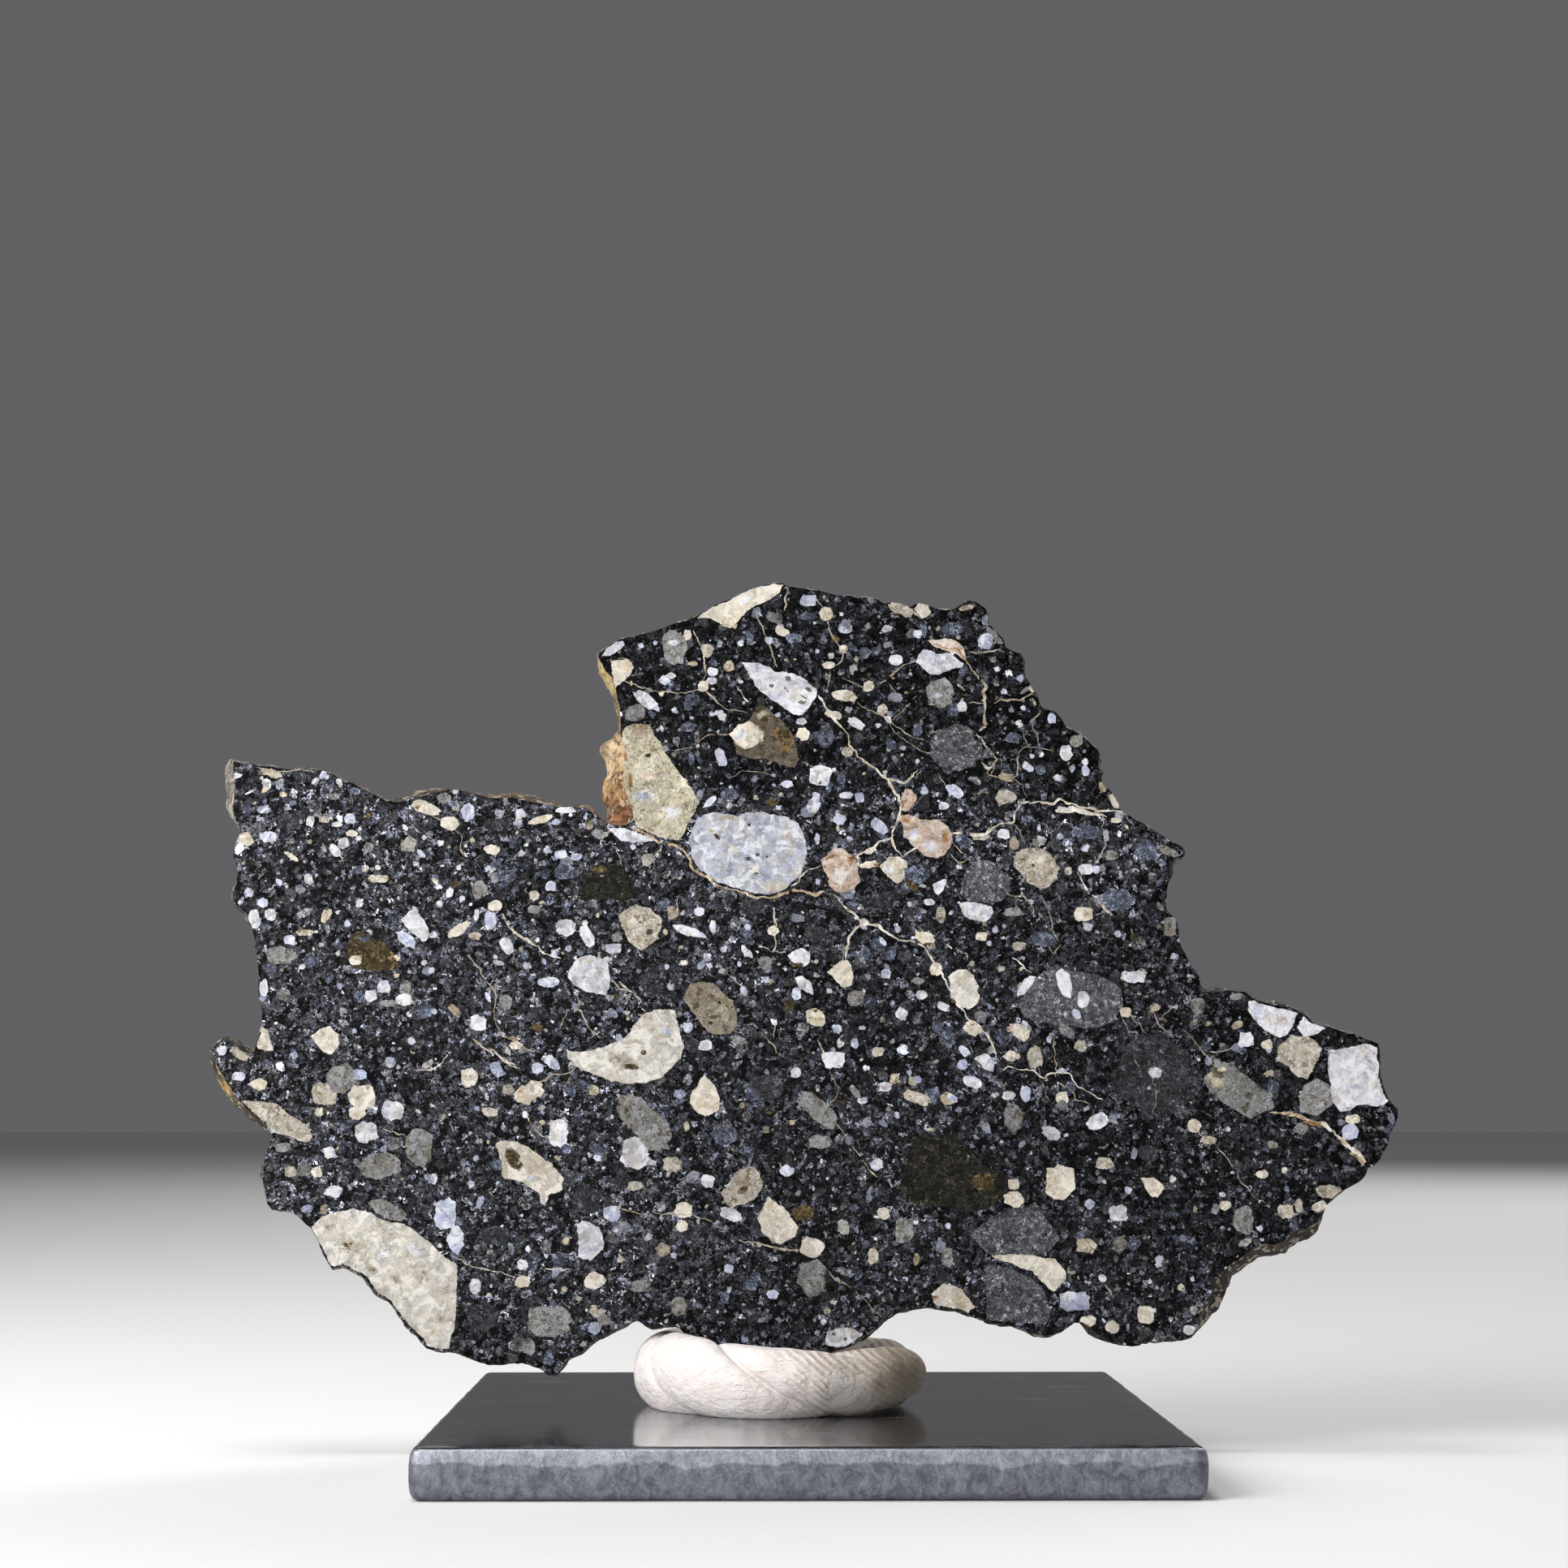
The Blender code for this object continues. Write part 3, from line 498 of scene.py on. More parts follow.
        (-22, 38.55, 1, 0.85), (-20.4, 28.6, 1, 0.6), (-8.45, 34.5, 0.7, 0.5), (-2.1, 36.8, 0.9, 0.8),
        (-23.7, 26.35, 1.3, 1.45), (-19.4, 25.25, 2.1, 1.4, 35), (-24.55, 36.85, 2, 0.8, 35),
        (-38.6, 25.85, 1.2, 0.9), (-31.3, 24.9, 1.9, 1.8), (-31.6, 23.8, 1.2, 1),
        (-34.35, 19.65, 0.8), (-8.4, 17, 1.3, 1.2), (-8.5, 15.9, 0.9, 0.8), (-14.7, 12.1, 1.6, 1.3),
        (-19.75, 12, 1.2, 0.9), (5.75, 16.75, 0.9), (15, 17.75, 1.5, 1.1), (15, 18.8, 0.8),
        (18.3, 19, 2.2, 2.4), (20.15, 38, 1.35, 1.1), (12.15, 34.45, 0.5, 0.7), (9.55, 34.05, 0.9, 1),
        (12.15, 29.8, 1.3, 0.9, -25), (12.85, 36.4, 0.9, 0.7), (5.4, 28.15, 0.9, 0.7),
        (27.9, 22.9, 1), (24.25, 9.7, 1.2, 1.3), (26.75, 11.6, 0.6), (20.2, 9.25, 1.2, 0.8),
        (23.1, 31, 0.8), (36.7, 17.25, 1.2, 0.8, 20), (39.2, 23.4, 1.1, 0.7), (-31.9, 34.65, 0.9, 0.7),
        (-34.3, 23.9, 0.7), (-12.85, 13.6, 0.6), (0.7, 14.4, 1.8, 1.5), (4.9, 42.55, 0.9, 0.5, 20),
        (4.8, 41.55, 1.2, 0.55, 10), (21.9, 8.8, 1.1, 0.9), (-26.3, 40.3, 0.5), (-36.9, 39.9, 0.3),
        (18.5, 24.9, 0.9, 1), (-12.4, 30.5, 0.3), (1, 30.85, 0.65), (33.2, 28.7, 0.9, 0.8),
        (-40.3, 30.9, 0.3), (30, 17.3, 0.9, 0.7), (32.7, 19.5, 0.9, 0.6), (34.3, 19.8, 0.6),
    ),
    "beige": (
        (-37.95, 48.05, 1.2, 0.65, -25), (-34.3, 44.75, 0.9, 0.5), (-30.4, 40.5, 1.5, 0.6),
        (-35.55, 36.65, 1.3, 0.5), (-40, 28, 1.5, 0.75, -35), (-33.9, 25.2, 1.8, 1.6),
        (-25.5, 23.6, 0.5), (-9.2, 20.2, 1.4, 1.1), (-23.4, 36.4, 1, 0.65), (-19.2, 39.3, 0.8),
        (-6.85, 57.1, 0.9, 1.1), (7.2, 60.1, 2, 0.85, -20), (11.9, 60.25, 1.1, 0.4, 10),
        (14.7, 46.45, 1.6, 1.1), (12.8, 43.55, 1.3, 0.55), (19.1, 41.1, 0.7), (15.55, 35.7, 1, 0.7),
        (1, 34.6, 0.4), (14.9, 27.85, 1.2, 0.85), (16.6, 27.8, 1.1, 1.6), (8.2, 24.9, 2, 0.85, -20),
        (19.85, 28.6, 1, 0.9), (28.9, 21.9, 1.1, 0.6), (21.5, 20.25, 1.3, 0.9), (34.3, 16.9, 1.2, 1),
        (35.25, 17.3, 0.6, 1), (37.4, 18.3, 2.1, 1), (24.6, 24.7, 0.3), (20.1, 14.5, 1.5, 1.1),
        (5, 13.75, 0.8, 1.1), (-4.2, 18.6, 3.2, 2.2, 38), (-11.8, 18.7, 1.1, 0.7),
        (14.3, 34.1, 0.8, 0.5), (-36.25, 19.7, 0.9), (-31.3, 41.2, 0.6), (3.3, 49.7, 0.9, 0.8),
        (5.8, 52.75, 0.8), (16.6, 54.3, 0.35, 0.7, 30), (-13.9, 32.1, 0.3), (25.2, 31.3, 0.8, 0.6),
        (-22.2, 23.9, 1.2, 0.7, -10), (-20.9, 25.5, 0.9, 0.8), (9.9, 37.95, 0.75, 1.2),
    ),
    "grey": (
        (-25.75, 46.3, 1, 0.8), (-31.1, 42.75, 0.8), (-14.6, 43.7, 1.1, 0.8, -20), (-12, 52.5, 1.5, 1.2),
        (-9.25, 57.3, 1.7, 2.5), (-2, 59.5, 1.3, 0.8, -20), (10, 54, 2, 2.1), (19.8, 50.5, 1, 0.95),
        (26.4, 42.5, 1.6, 0.7, -25), (13.2, 53.9, 0.2), (-27.1, 21.4, 1.9, 2.7), (-32.8, 26.2, 2, 2.2),
        (-29.9, 20.1, 3.1, 1.9), (-35.3, 19.8, 1), (-29.3, 17, 2.9, 1.2, -25), (-36.8, 21.4, 1.1, 0.7),
        (-37.2, 35, 2.2, 1.3), (-29.5, 31.6, 1.3, 0.5), (-28.3, 32.7, 0.9), (-37, 32.2, 1.1, 0.9),
        (-11.2, 23.2, 5, 2.3, -48), (-2.7, 34.5, 1), (-4.55, 29, 1.1, 0.65, -15), (3.85, 32, 1.3, 1.2),
        (8.3, 33.2, 1, 0.55), (12.7, 30.75, 0.9, 0.7), (18.9, 29.6, 1.3, 0.75, -35), (3, 35.4, 0.5),
        (0.65, 12.3, 2, 2.5), (15, 23.5, 1.4, 2.1), (18.5, 24.4, 0.8), (28.3, 31.4, 1.2),
        (31.3, 16.3, 1.5, 2), (35.5, 22.7, 1.2, 0.9), (-17.9, 9.25, 3.2, 2.2), (-19.25, 7.5, 1, 1.2),
        (-14, 9.4, 0.9), (-8.7, 10.3, 1.2, 1.4), (-11.4, 11.7, 1.5, 1), (10.25, 13.7, 0.9, 1.4),
        (1.1, 24.1, 3.3, 1.5, -42), (23.5, 42.9, 0.5), (15.1, 38.15, 1.3, 0.75), (-23.1, 39.7, 1.3, 1.4),
        (26.4, 37.1, 0.9, 1.5), (7.2, 15.6, 1.4, 1.8), (-32.65, 31.1, 0.7, 0.5), (31.1, 32.1, 1.1, 0.5),
        (2.9, 12.7, 0.7), (1.2, 21.8, 1.6, 1), (4.8, 58.9, 0.6), (22.2, 42.2, 1.1, 0.8), (21.6, 41.3, 0.5),
        (-33.7, 46.4, 0.8, 0.5), (-36.6, 43.2, 0.5), (-21.15, 31.7, 1, 1.15), (-19.2, 38.3, 0.9, 0.7),
    ),
    "slate": (
        (1.7, 50.8, 1.2, 1.6), (-8.2, 51.5, 1.2, 0.8), (-16.9, 41, 1.8, 1.1),
        (-21.1, 40.7, 1.5, 0.9), (-5.2, 46.6, 1.4, 0.9), (2.8, 47.75, 0.7, 0.9), (8.35, 51.3, 0.7, 1),
        (17.2, 48.4, 0.8), (-9.9, 38.7, 0.7, 1.1, -40), (20.5, 43.9, 2.2, 1.1), (24.7, 42.6, 1.5),
        (10.9, 58.7, 1.8, 1), (0.4, 59.6, 1.5, 0.6), (-31.3, 36.2, 0.9, 0.5), (27.9, 35, 0.3),
        (10.4, 29.2, 1.1, 0.9), (-21.7, 20.2, 0.9), (-3.3, 25.3, 1.4), (22.6, 39, 2.4, 1.6),
        (4.5, 35.2, 0.7, 1), (17.2, 36.2, 1.8, 1.1), (-5.5, 22.2, 1.9, 1.3), (11.8, 20.8, 0.2),
        (6.1, 42.4, 0.3), (8.2, 40.9, 1.9, 1.3), (33.6, 25.7, 0.9), (-0.6, 58, 1.2, 0.7), (4.6, 56.9, 0.9),
    ),
    "shade": ((11, 49.9, 3.7, 3.5),),
    "charcoal": (
        (-2.5, 25.7, 2.3, 1.7), (-3.6, 38.5, 2, 1.3), (-22.5, 9.5, 2.2, 2), (25.2, 26.5, 6, 5.9),
        (-18.8, 30.85, 1.7, 1), (7.4, 35, 1.3, 0.8), (12.8, 32.5, 0.6), (5.8, 39, 1.5, 1),
        (-15.3, 17.7, 2.1, 1.9), (0.9, 36.6, 1.7, 1.3), (-10.8, 33, 1.6, 1.7), (24.6, 21, 1.5, 1.2),
        (-21.8, 15.2, 2.2, 1.4), (-36.9, 44.6, 1.6, 1.3), (-21.9, 44.4, 1.9, 0.9), (6, 10.9, 0.6),
    ),
    "brown": (
        (-18.9, 29.9, 0.9, 0.6), (-13.2, 32.15, 0.6, 0.5), (2.9, 24.6, 0.5, 0.35), (0, 16.8, 1.6, 1.1),
        (2.45, 57.95, 0.7, 0.6), (4.85, 55.25, 0.5), (7.9, 40, 1.1, 0.5, -35), (29.7, 26.8, 0.8, 0.5),
        (6.9, 25.85, 0.4), (8.6, 53.2, 0.3), (-2.1, 46, 0.9, 0.6), (-31.1, 45, 0.5),
    ),
}

# Stones whose outline is their own: points in mm, x and height, one after another round the edge.
SHAPED_STONES = (
    ("white", (
        -14.05, 44.2, -13, 44.2, -12, 43.95, -11, 43.55, -10.6, 43.2, -12, 43.1, -13, 43.2, -13.6, 43.7,
    )),
    ("green", (
        -13, 51.15, -12.7, 51.6, -11.9, 51.75, -10.9, 51.65, -10.7, 51, -10.1, 50.3, -9.75, 49.5, -9.05, 48.5,
        -8.35, 47.6, -7.8, 46.8, -7.35, 46, -7.7, 45.2, -8.2, 44.5, -8.5, 43.6, -9.05, 43.2, -10.2, 43.45,
        -11.3, 43.95, -12, 44.25, -12.3, 45.5, -12.9, 47.5, -13, 49.5,
    )),
    ("cream", (-13.9, 56.4, -12.6, 56.5, -12.1, 56, -12.3, 55.3, -12.7, 54.9, -13.5, 54.3, -13.7, 55.2)),
    ("cream", (
        -7.6, 59.45, -6.5, 60.3, -5.1, 60.9, -3.55, 61.65, -2.1, 62, -1.25, 61.9, -1.6, 61.3, -2.65, 60.6,
        -3.75, 60.1, -4.6, 59.2, -5.3, 58.6, -5.9, 59.05, -7, 59.5,
    )),
    ("white", (
        -4.4, 56.3, -3.05, 56.15, -1.95, 55.6, -0.4, 55.4, 0.45, 54.8, 1.15, 54.2, 1, 53.6, 0.45, 52.85,
        -0.1, 52.25, -0.65, 52.4, -1.65, 53.1, -2.65, 53.75, -3.35, 54.4, -3.75, 55.1,
    )),
    ("lens", (
        -5.0, 50.4, -3.8, 51.9, -3.4, 53, -2.9, 53.1, -1.9, 52.3, -1.1, 51.6, -0.5, 50.6, -0.15, 49.2, -0.5,
        48.5,
        -1.4, 48.7, -2.6, 49.1, -3.9, 49.2, -4.8, 49.6,
    )),
    ("cream", (-5.3, 51, -4.6, 51.7, -3.8, 52, -3.1, 51.5, -3, 50.5, -3.3, 50.1, -4.1, 49.85, -4.8, 50.2)),
    ("white", (
        8.2, 56.3, 8.7, 57.2, 9.3, 57.2, 9.9, 56.8, 10.5, 57, 11.3, 56.5, 11.8, 56.1, 11.5, 55.8, 10.5, 55.6,
        10, 55.3, 9.2, 55.4, 8.7, 55.8,
    )),
    ("pink", (9.1, 57.8, 10, 58, 11.2, 57.9, 11.8, 57.3, 11.9, 56.3, 11, 57, 10.4, 57.1, 9.9, 57.2)),
    ("milk", (
        -7.95, 44, -7.6, 44.8, -7.1, 45.2, -6.3, 45.4, -5.4, 45.2, -4.6, 45.05, -4, 45.3, -2.9, 45.4, -2,
        45.15,
        -1.1, 45, -0.3, 44.55, 0.1, 43.8, 0.35, 43, 0.35, 42.3, 0.2, 41.6, -0.1, 40.9, -0.6, 40.3, -1.2,
        39.85,
        -1.9, 39.45, -2.6, 39.35, -3.4, 39.45, -4.2, 39.65, -5, 39.85, -5.7, 40.1, -6.3, 40.35, -7, 40.9,
        -7.55, 41.4, -7.85, 41.9, -8, 42.6, -8.2, 43.2,
    )),
    ("pink", (
        6.9, 45.1, 7.85, 45.15, 8.8, 44.8, 9.85, 44.85, 10.45, 44.4, 10.8, 43.8, 10.85, 43.1, 10.3, 42.3,
        9.7, 42,
        8.9, 42.1, 8.4, 42.5, 7.85, 42.95, 7.4, 43.6, 7.2, 44.3,
    )),
    ("pink", (7.1, 46.3, 7.4, 47, 7.9, 47, 8.3, 46.4, 8.1, 45.8, 7.6, 45.3, 7.1, 45.5)),
    ("pink", (
        1.3, 41.85, 1.85, 42.4, 2.45, 42.8, 3.2, 42.65, 3.6, 42.2, 3.95, 41.8, 4.1, 41.1, 4.15, 40.3, 3.85,
        39.85,
        3.1, 39.5, 2.45, 39.6, 1.9, 40.05, 1.85, 40.6, 1.5, 41.2,
    )),
    ("cream", (5.55, 41.4, 6.15, 42.1, 6.9, 42.25, 7.5, 41.8, 7.6, 41.1, 7.2, 40.35, 6.8, 40.1, 6.15, 40.6)),
    ("shade", (
        11.25, 39.4, 11.4, 40.3, 11.85, 41.4, 12.6, 42, 13.55, 41.9, 14.3, 41.2, 15.1, 40.6, 14.9, 39.7,
        14.3, 38.8, 13.4, 38.8, 11.85, 38.9,
    )),
    ("beige", (
        15.1, 42.3, 15.7, 42.7, 16.75, 42.85, 17.55, 42.6, 18.15, 41.85, 18.55, 41.25, 18.3, 40.45, 17.7,
        39.9,
        17.1, 39.75, 16.3, 40.15, 15.85, 40.75, 15.2, 41.4,
    )),
    ("grey", (13.4, 59, 14, 58.6, 14.55, 57.9, 14.6, 57.45, 14.1, 57.7, 13.4, 58.5)),
    ("olive", (
        -15.9, 38.9, -15.85, 39.7, -15.7, 40.6, -15.1, 41.25, -14.6, 41.6, -13.85, 41.7, -13.1, 41.4, -12.5,
        40.8,
        -12, 40.3, -12.1, 39.2, -12.5, 38.85, -13.5, 39, -14.8, 39.05,
    )),
    ("beige", (
        -13.15, 38, -12.6, 38.4, -11.85, 38.7, -11, 38.5, -10.45, 38, -10, 37.7, -10.1, 36.9, -10.4, 36.1,
        -11.1, 35.55, -11.4, 35.35, -12, 35.6, -12.6, 36.3, -13, 37.2,
    )),
    ("white", (-9.3, 37.25, -8.6, 37.3, -7.7, 37, -7, 36.6, -6.8, 36.2, -7.6, 36.25, -8.4, 36.45, -9, 36.8)),
    ("white", (
        -16.75, 33.8, -16.55, 34.3, -16, 34.9, -15.3, 35.1, -14.6, 34.9, -14, 34.6, -13.75, 34, -13.7, 33.2,
        -13.75, 32.6, -14, 32.2, -14.8, 32.2, -15.55, 32.5, -16.3, 32.85, -16.8, 33.4,
    )),
    ("umber", (
        -8.3, 32.6, -7.9, 33.1, -7.2, 33.15, -6.3, 33.1, -5.7, 32.45, -4.9, 31.85, -4.6, 30.9, -4.7, 30,
        -5.15, 29.45, -5.85, 29.3, -6.6, 29.45, -7.1, 29.85, -7.55, 30.6, -8, 31.2, -8.5, 31.9,
    )),
    ("chalk", (
        -16.9, 28.4, -16, 28.2, -15, 28.3, -13.5, 28.75, -12.6, 29.2, -12.1, 30, -11.3, 30.9, -10.4, 31.2,
        -9.6, 31.2, -9.05, 31.1, -8.8, 30.2, -8.55, 29.2, -8.4, 28.4, -8.7, 27.6, -9.3, 27.1, -10, 26.3,
        -11, 26,
        -12.3, 25.8, -13.3, 26, -14.3, 26.35, -15.3, 26.7, -16.2, 27.2, -16.75, 27.8,
    )),
    ("white", (
        11.25, 38.7, 11.55, 38.9, 12.75, 38.8, 13.55, 38.6, 13.8, 38.1, 13.55, 37.7, 13.1, 37.4, 12.15,
        37.55, 11.55, 37.9,
    )),
    ("white", (9.35, 40.15, 9.85, 40.45, 10.4, 40.6, 10.3, 39.85, 9.75, 39.3, 9.4, 39.55)),
    ("cream", (8, 36.9, 8.6, 36.75, 9.25, 36.6, 9.6, 36.15, 9.25, 35.6, 8.6, 35.85, 8.15, 36.15)),
    ("cream", (
        1.8, 33.85, 2.45, 34.45, 3, 34.75, 3.55, 34.4, 3.75, 33.55, 3.6, 32.85, 2.85, 32.6, 2.3, 33.25,
    )),
    ("white", (-1.1, 35, -0.6, 35.45, 0.1, 35.55, 0.6, 35.2, 0.55, 34.45, 0.15, 34.15, -0.6, 34.45)),
    ("white", (-0.55, 33.45, -0.1, 33.6, 0.55, 33.2, 0.85, 32.6, 0.75, 32.15, 0.15, 32.4, -0.3, 32.85)),
    ("green", (0.2, 31.1, 0.8, 31.3, 1.5, 31, 1.75, 30.4, 1.5, 29.9, 0.9, 29.9, 0.3, 30.2)),
    ("chalk", (
        10.4, 33.6, 10.9, 34, 11.75, 34.05, 12.3, 33.6, 12.6, 32.85, 12.75, 32, 12.45, 31.45, 11.9, 31.15,
        11.2, 31.4, 10.6, 32, 10.55, 32.85,
    )),
    ("ash", (
        15.4, 31.4, 15.55, 32, 16.5, 33.2, 17.4, 34, 18.15, 34.45, 19.1, 34.1, 19.85, 33.85, 21.1, 33.7, 22,
        33.3,
        22.8, 32.6, 23, 31.5, 22.3, 30.3, 21.1, 29.85, 20.15, 29.8, 19.2, 30, 18, 30.15, 16.8, 30.3, 15.85,
        30.6,
    )),
    ("white", (15.4, 32.1, 15.4, 32.6, 15.85, 33.25, 16.3, 33.7, 16.75, 33.6, 16.45, 33, 15.9, 32.3)),
    ("white", (18.15, 33.9, 18.6, 34.1, 19.15, 33.7, 19.3, 32.85, 19.25, 32, 18.6, 32.15, 18.25, 32.9)),
    ("cream", (14.8, 30.1, 15.4, 30.25, 16.3, 29.6, 16.25, 29.1, 15.75, 28.75, 15.1, 29.25)),
    ("white", (12.2, 27.7, 13.15, 28.15, 13.7, 27.4, 13.6, 26.7, 13, 26.9)),
    ("white", (
        -28.7, 37.6, -28.2, 38.2, -27.6, 38.3, -27, 37.5, -26.6, 36.7, -26.8, 36, -27.1, 35.9, -27.9, 36.6,
        -28.5, 37.2,
    )),
    ("brown", (
        -32.6, 34.95, -32.3, 36.2, -31.8, 36.8, -30.9, 36.4, -29.8, 35.9, -29.2, 35.1, -28.7, 34.05, -30.2,
        33.9,
        -31.9, 33.95,
    )),
    ("cream", (
        -38.5, 30, -38.1, 29.8, -37.8, 29, -37.5, 28.3, -37.9, 28.1, -38.8, 28.35, -38.75, 29, -38.55, 29.5,
    )),
    ("cream", (
        -35, 29.3, -34.2, 29.9, -33.6, 30, -33, 29.4, -32.9, 28.6, -33.5, 27.9, -34.2, 28.2, -34.6, 28.7,
    )),
    ("beige", (
        -39.9, 24.75, -38.9, 24.7, -37.2, 24.5, -36.6, 23.9, -35.4, 23.1, -34.9, 22.7, -34.6, 22.1, -35.2,
        21.7,
        -36.4, 22.15, -37.3, 22.4, -38.2, 23.2, -39.2, 24.05,
    )),
    ("chalk", (
        -34.75, 15.85, -33.9, 16.6, -32.7, 17, -31.6, 17.2, -30.5, 16.8, -29.3, 16.2, -28.1, 16.05, -27.2,
        15.5,
        -26.2, 14.7, -25.25, 13.7, -24.3, 13.2, -24.3, 12.5, -24.3, 11.05, -24.3, 10.2, -24.5, 8.8, -24.85,
        7.3,
        -25.7, 7.35, -26.35, 7.5, -27, 8.3, -27.9, 9.1, -28.5, 10, -29, 10.7, -30, 11.3, -30.7, 12.3, -31.8,
        12.95,
        -32.4, 13.25, -33.1, 13, -33.5, 13.5, -34, 14.6,
    )),
    ("cream", (
        -21.8, 21.7, -21.3, 21.9, -20.3, 21.8, -19.2, 21.3, -17.8, 20.3, -16.9, 19.3, -17, 18.4, -18.2, 17.9,
        -19.2, 18.5, -20, 19, -21.25, 19.3, -21.4, 20.3,
    )),
    ("white", (-16, 16, -15.5, 16.3, -14.3, 15.8, -13.9, 14.5, -15, 13.4, -15.8, 13.7)),
    ("cream", (
        -7, 26.6, -6.5, 26.1, -6.2, 25.6, -5.8, 24.9, -5.9, 24, -6.6, 23.6, -7.4, 23.8, -8.1, 24.5, -7.8,
        25.4,
    )),
    ("cream", (-2.4, 18, -1.3, 17.2, -0.25, 15.8, -0.5, 15.2, -1.5, 14.5, -2.8, 15.3, -3.2, 16.5)),
    ("white", (1.7, 8.5, 2.3, 8.7, 3.5, 8.8, 4.3, 8.35, 3.8, 7.9, 3.1, 7.5, 2.3, 7.4, 1.6, 7.6)),
    ("olive", (
        7.7, 22, 8.3, 22.3, 10.5, 22.4, 11.5, 21.7, 12.7, 20.3, 14.7, 19.3, 14.3, 18, 13.2, 17, 11.7, 16.8,
        10, 17.2, 8, 17.3, 6.7, 18.3, 7.3, 20,
    )),
    ("ash", (
        11.8, 15.3, 13, 16.3, 15, 17.2, 16.8, 17.2, 17.5, 16.2, 18.3, 15, 17.2, 13.8, 15, 13.7, 13.2, 13.8,
    )),
    ("ash", (13, 13.2, 14.7, 13, 16.2, 12.3, 17.2, 11.3, 17.5, 10, 17.3, 9, 15, 9.1, 13, 9.3, 12.9, 11.2)),
    ("cream", (
        13.3, 13.8, 15, 13.9, 16.3, 13.8, 17.8, 13.6, 18.7, 12.8, 18.6, 12, 17.8, 11.3, 17.2, 11.7, 16.2,
        12.7, 14.7, 13.2,
    )),
    ("cream", (9.1, 11.2, 10, 11.9, 11.3, 11.5, 12.2, 10.2, 11.7, 9.75, 10.7, 10.1, 9.3, 10.35)),
    ("cream", (24, 19.3, 25, 19.3, 25.8, 18.6, 25.2, 17.75, 24.5, 18.1)),
    ("white", (
        37.5, 28.2, 38.8, 28.5, 40.3, 28.8, 41.1, 28.5, 41.15, 26.8, 41.2, 26, 41.8, 24.6, 41.3, 24.25,
        39.8, 24.4,
        39, 24, 38.3, 23.9, 37.75, 24.7, 37.5, 26.7,
    )),
    ("white", (
        31.9, 31.85, 32.3, 31.85, 33.3, 31.5, 34.7, 31.2, 35.5, 30.9, 35.1, 30, 34.7, 29.3, 34.1, 29.1,
        33.1, 29.6,
        32.3, 30.4, 31.9, 31.1,
    )),
    ("white", (35.9, 30.7, 36.5, 30.2, 37.5, 29.85, 36.7, 29.4, 35.8, 29.2, 35.3, 29.9)),
    ("beige", (
        35.05, 29.4, 36.1, 29.3, 36.95, 28.75, 36.95, 27.9, 36.5, 26.9, 36.1, 26.2, 35.4, 26.3, 34.7, 27.05,
        33.85, 27.6, 34, 28.6,
    )),
    ("grey", (35.75, 25.9, 36.8, 26.3, 37.65, 25.9, 37.8, 24.4, 36.95, 23.7, 35.5, 23.8, 35.4, 24.8)),
    ("grey", (
        28.6, 26.2, 29.2, 27.05, 30, 27.55, 31, 27.05, 31.9, 26.3, 33.3, 25.2, 33.7, 24.2, 31.9, 23.4, 30.5,
        24.2,
        29.05, 25.2,
    )),
)

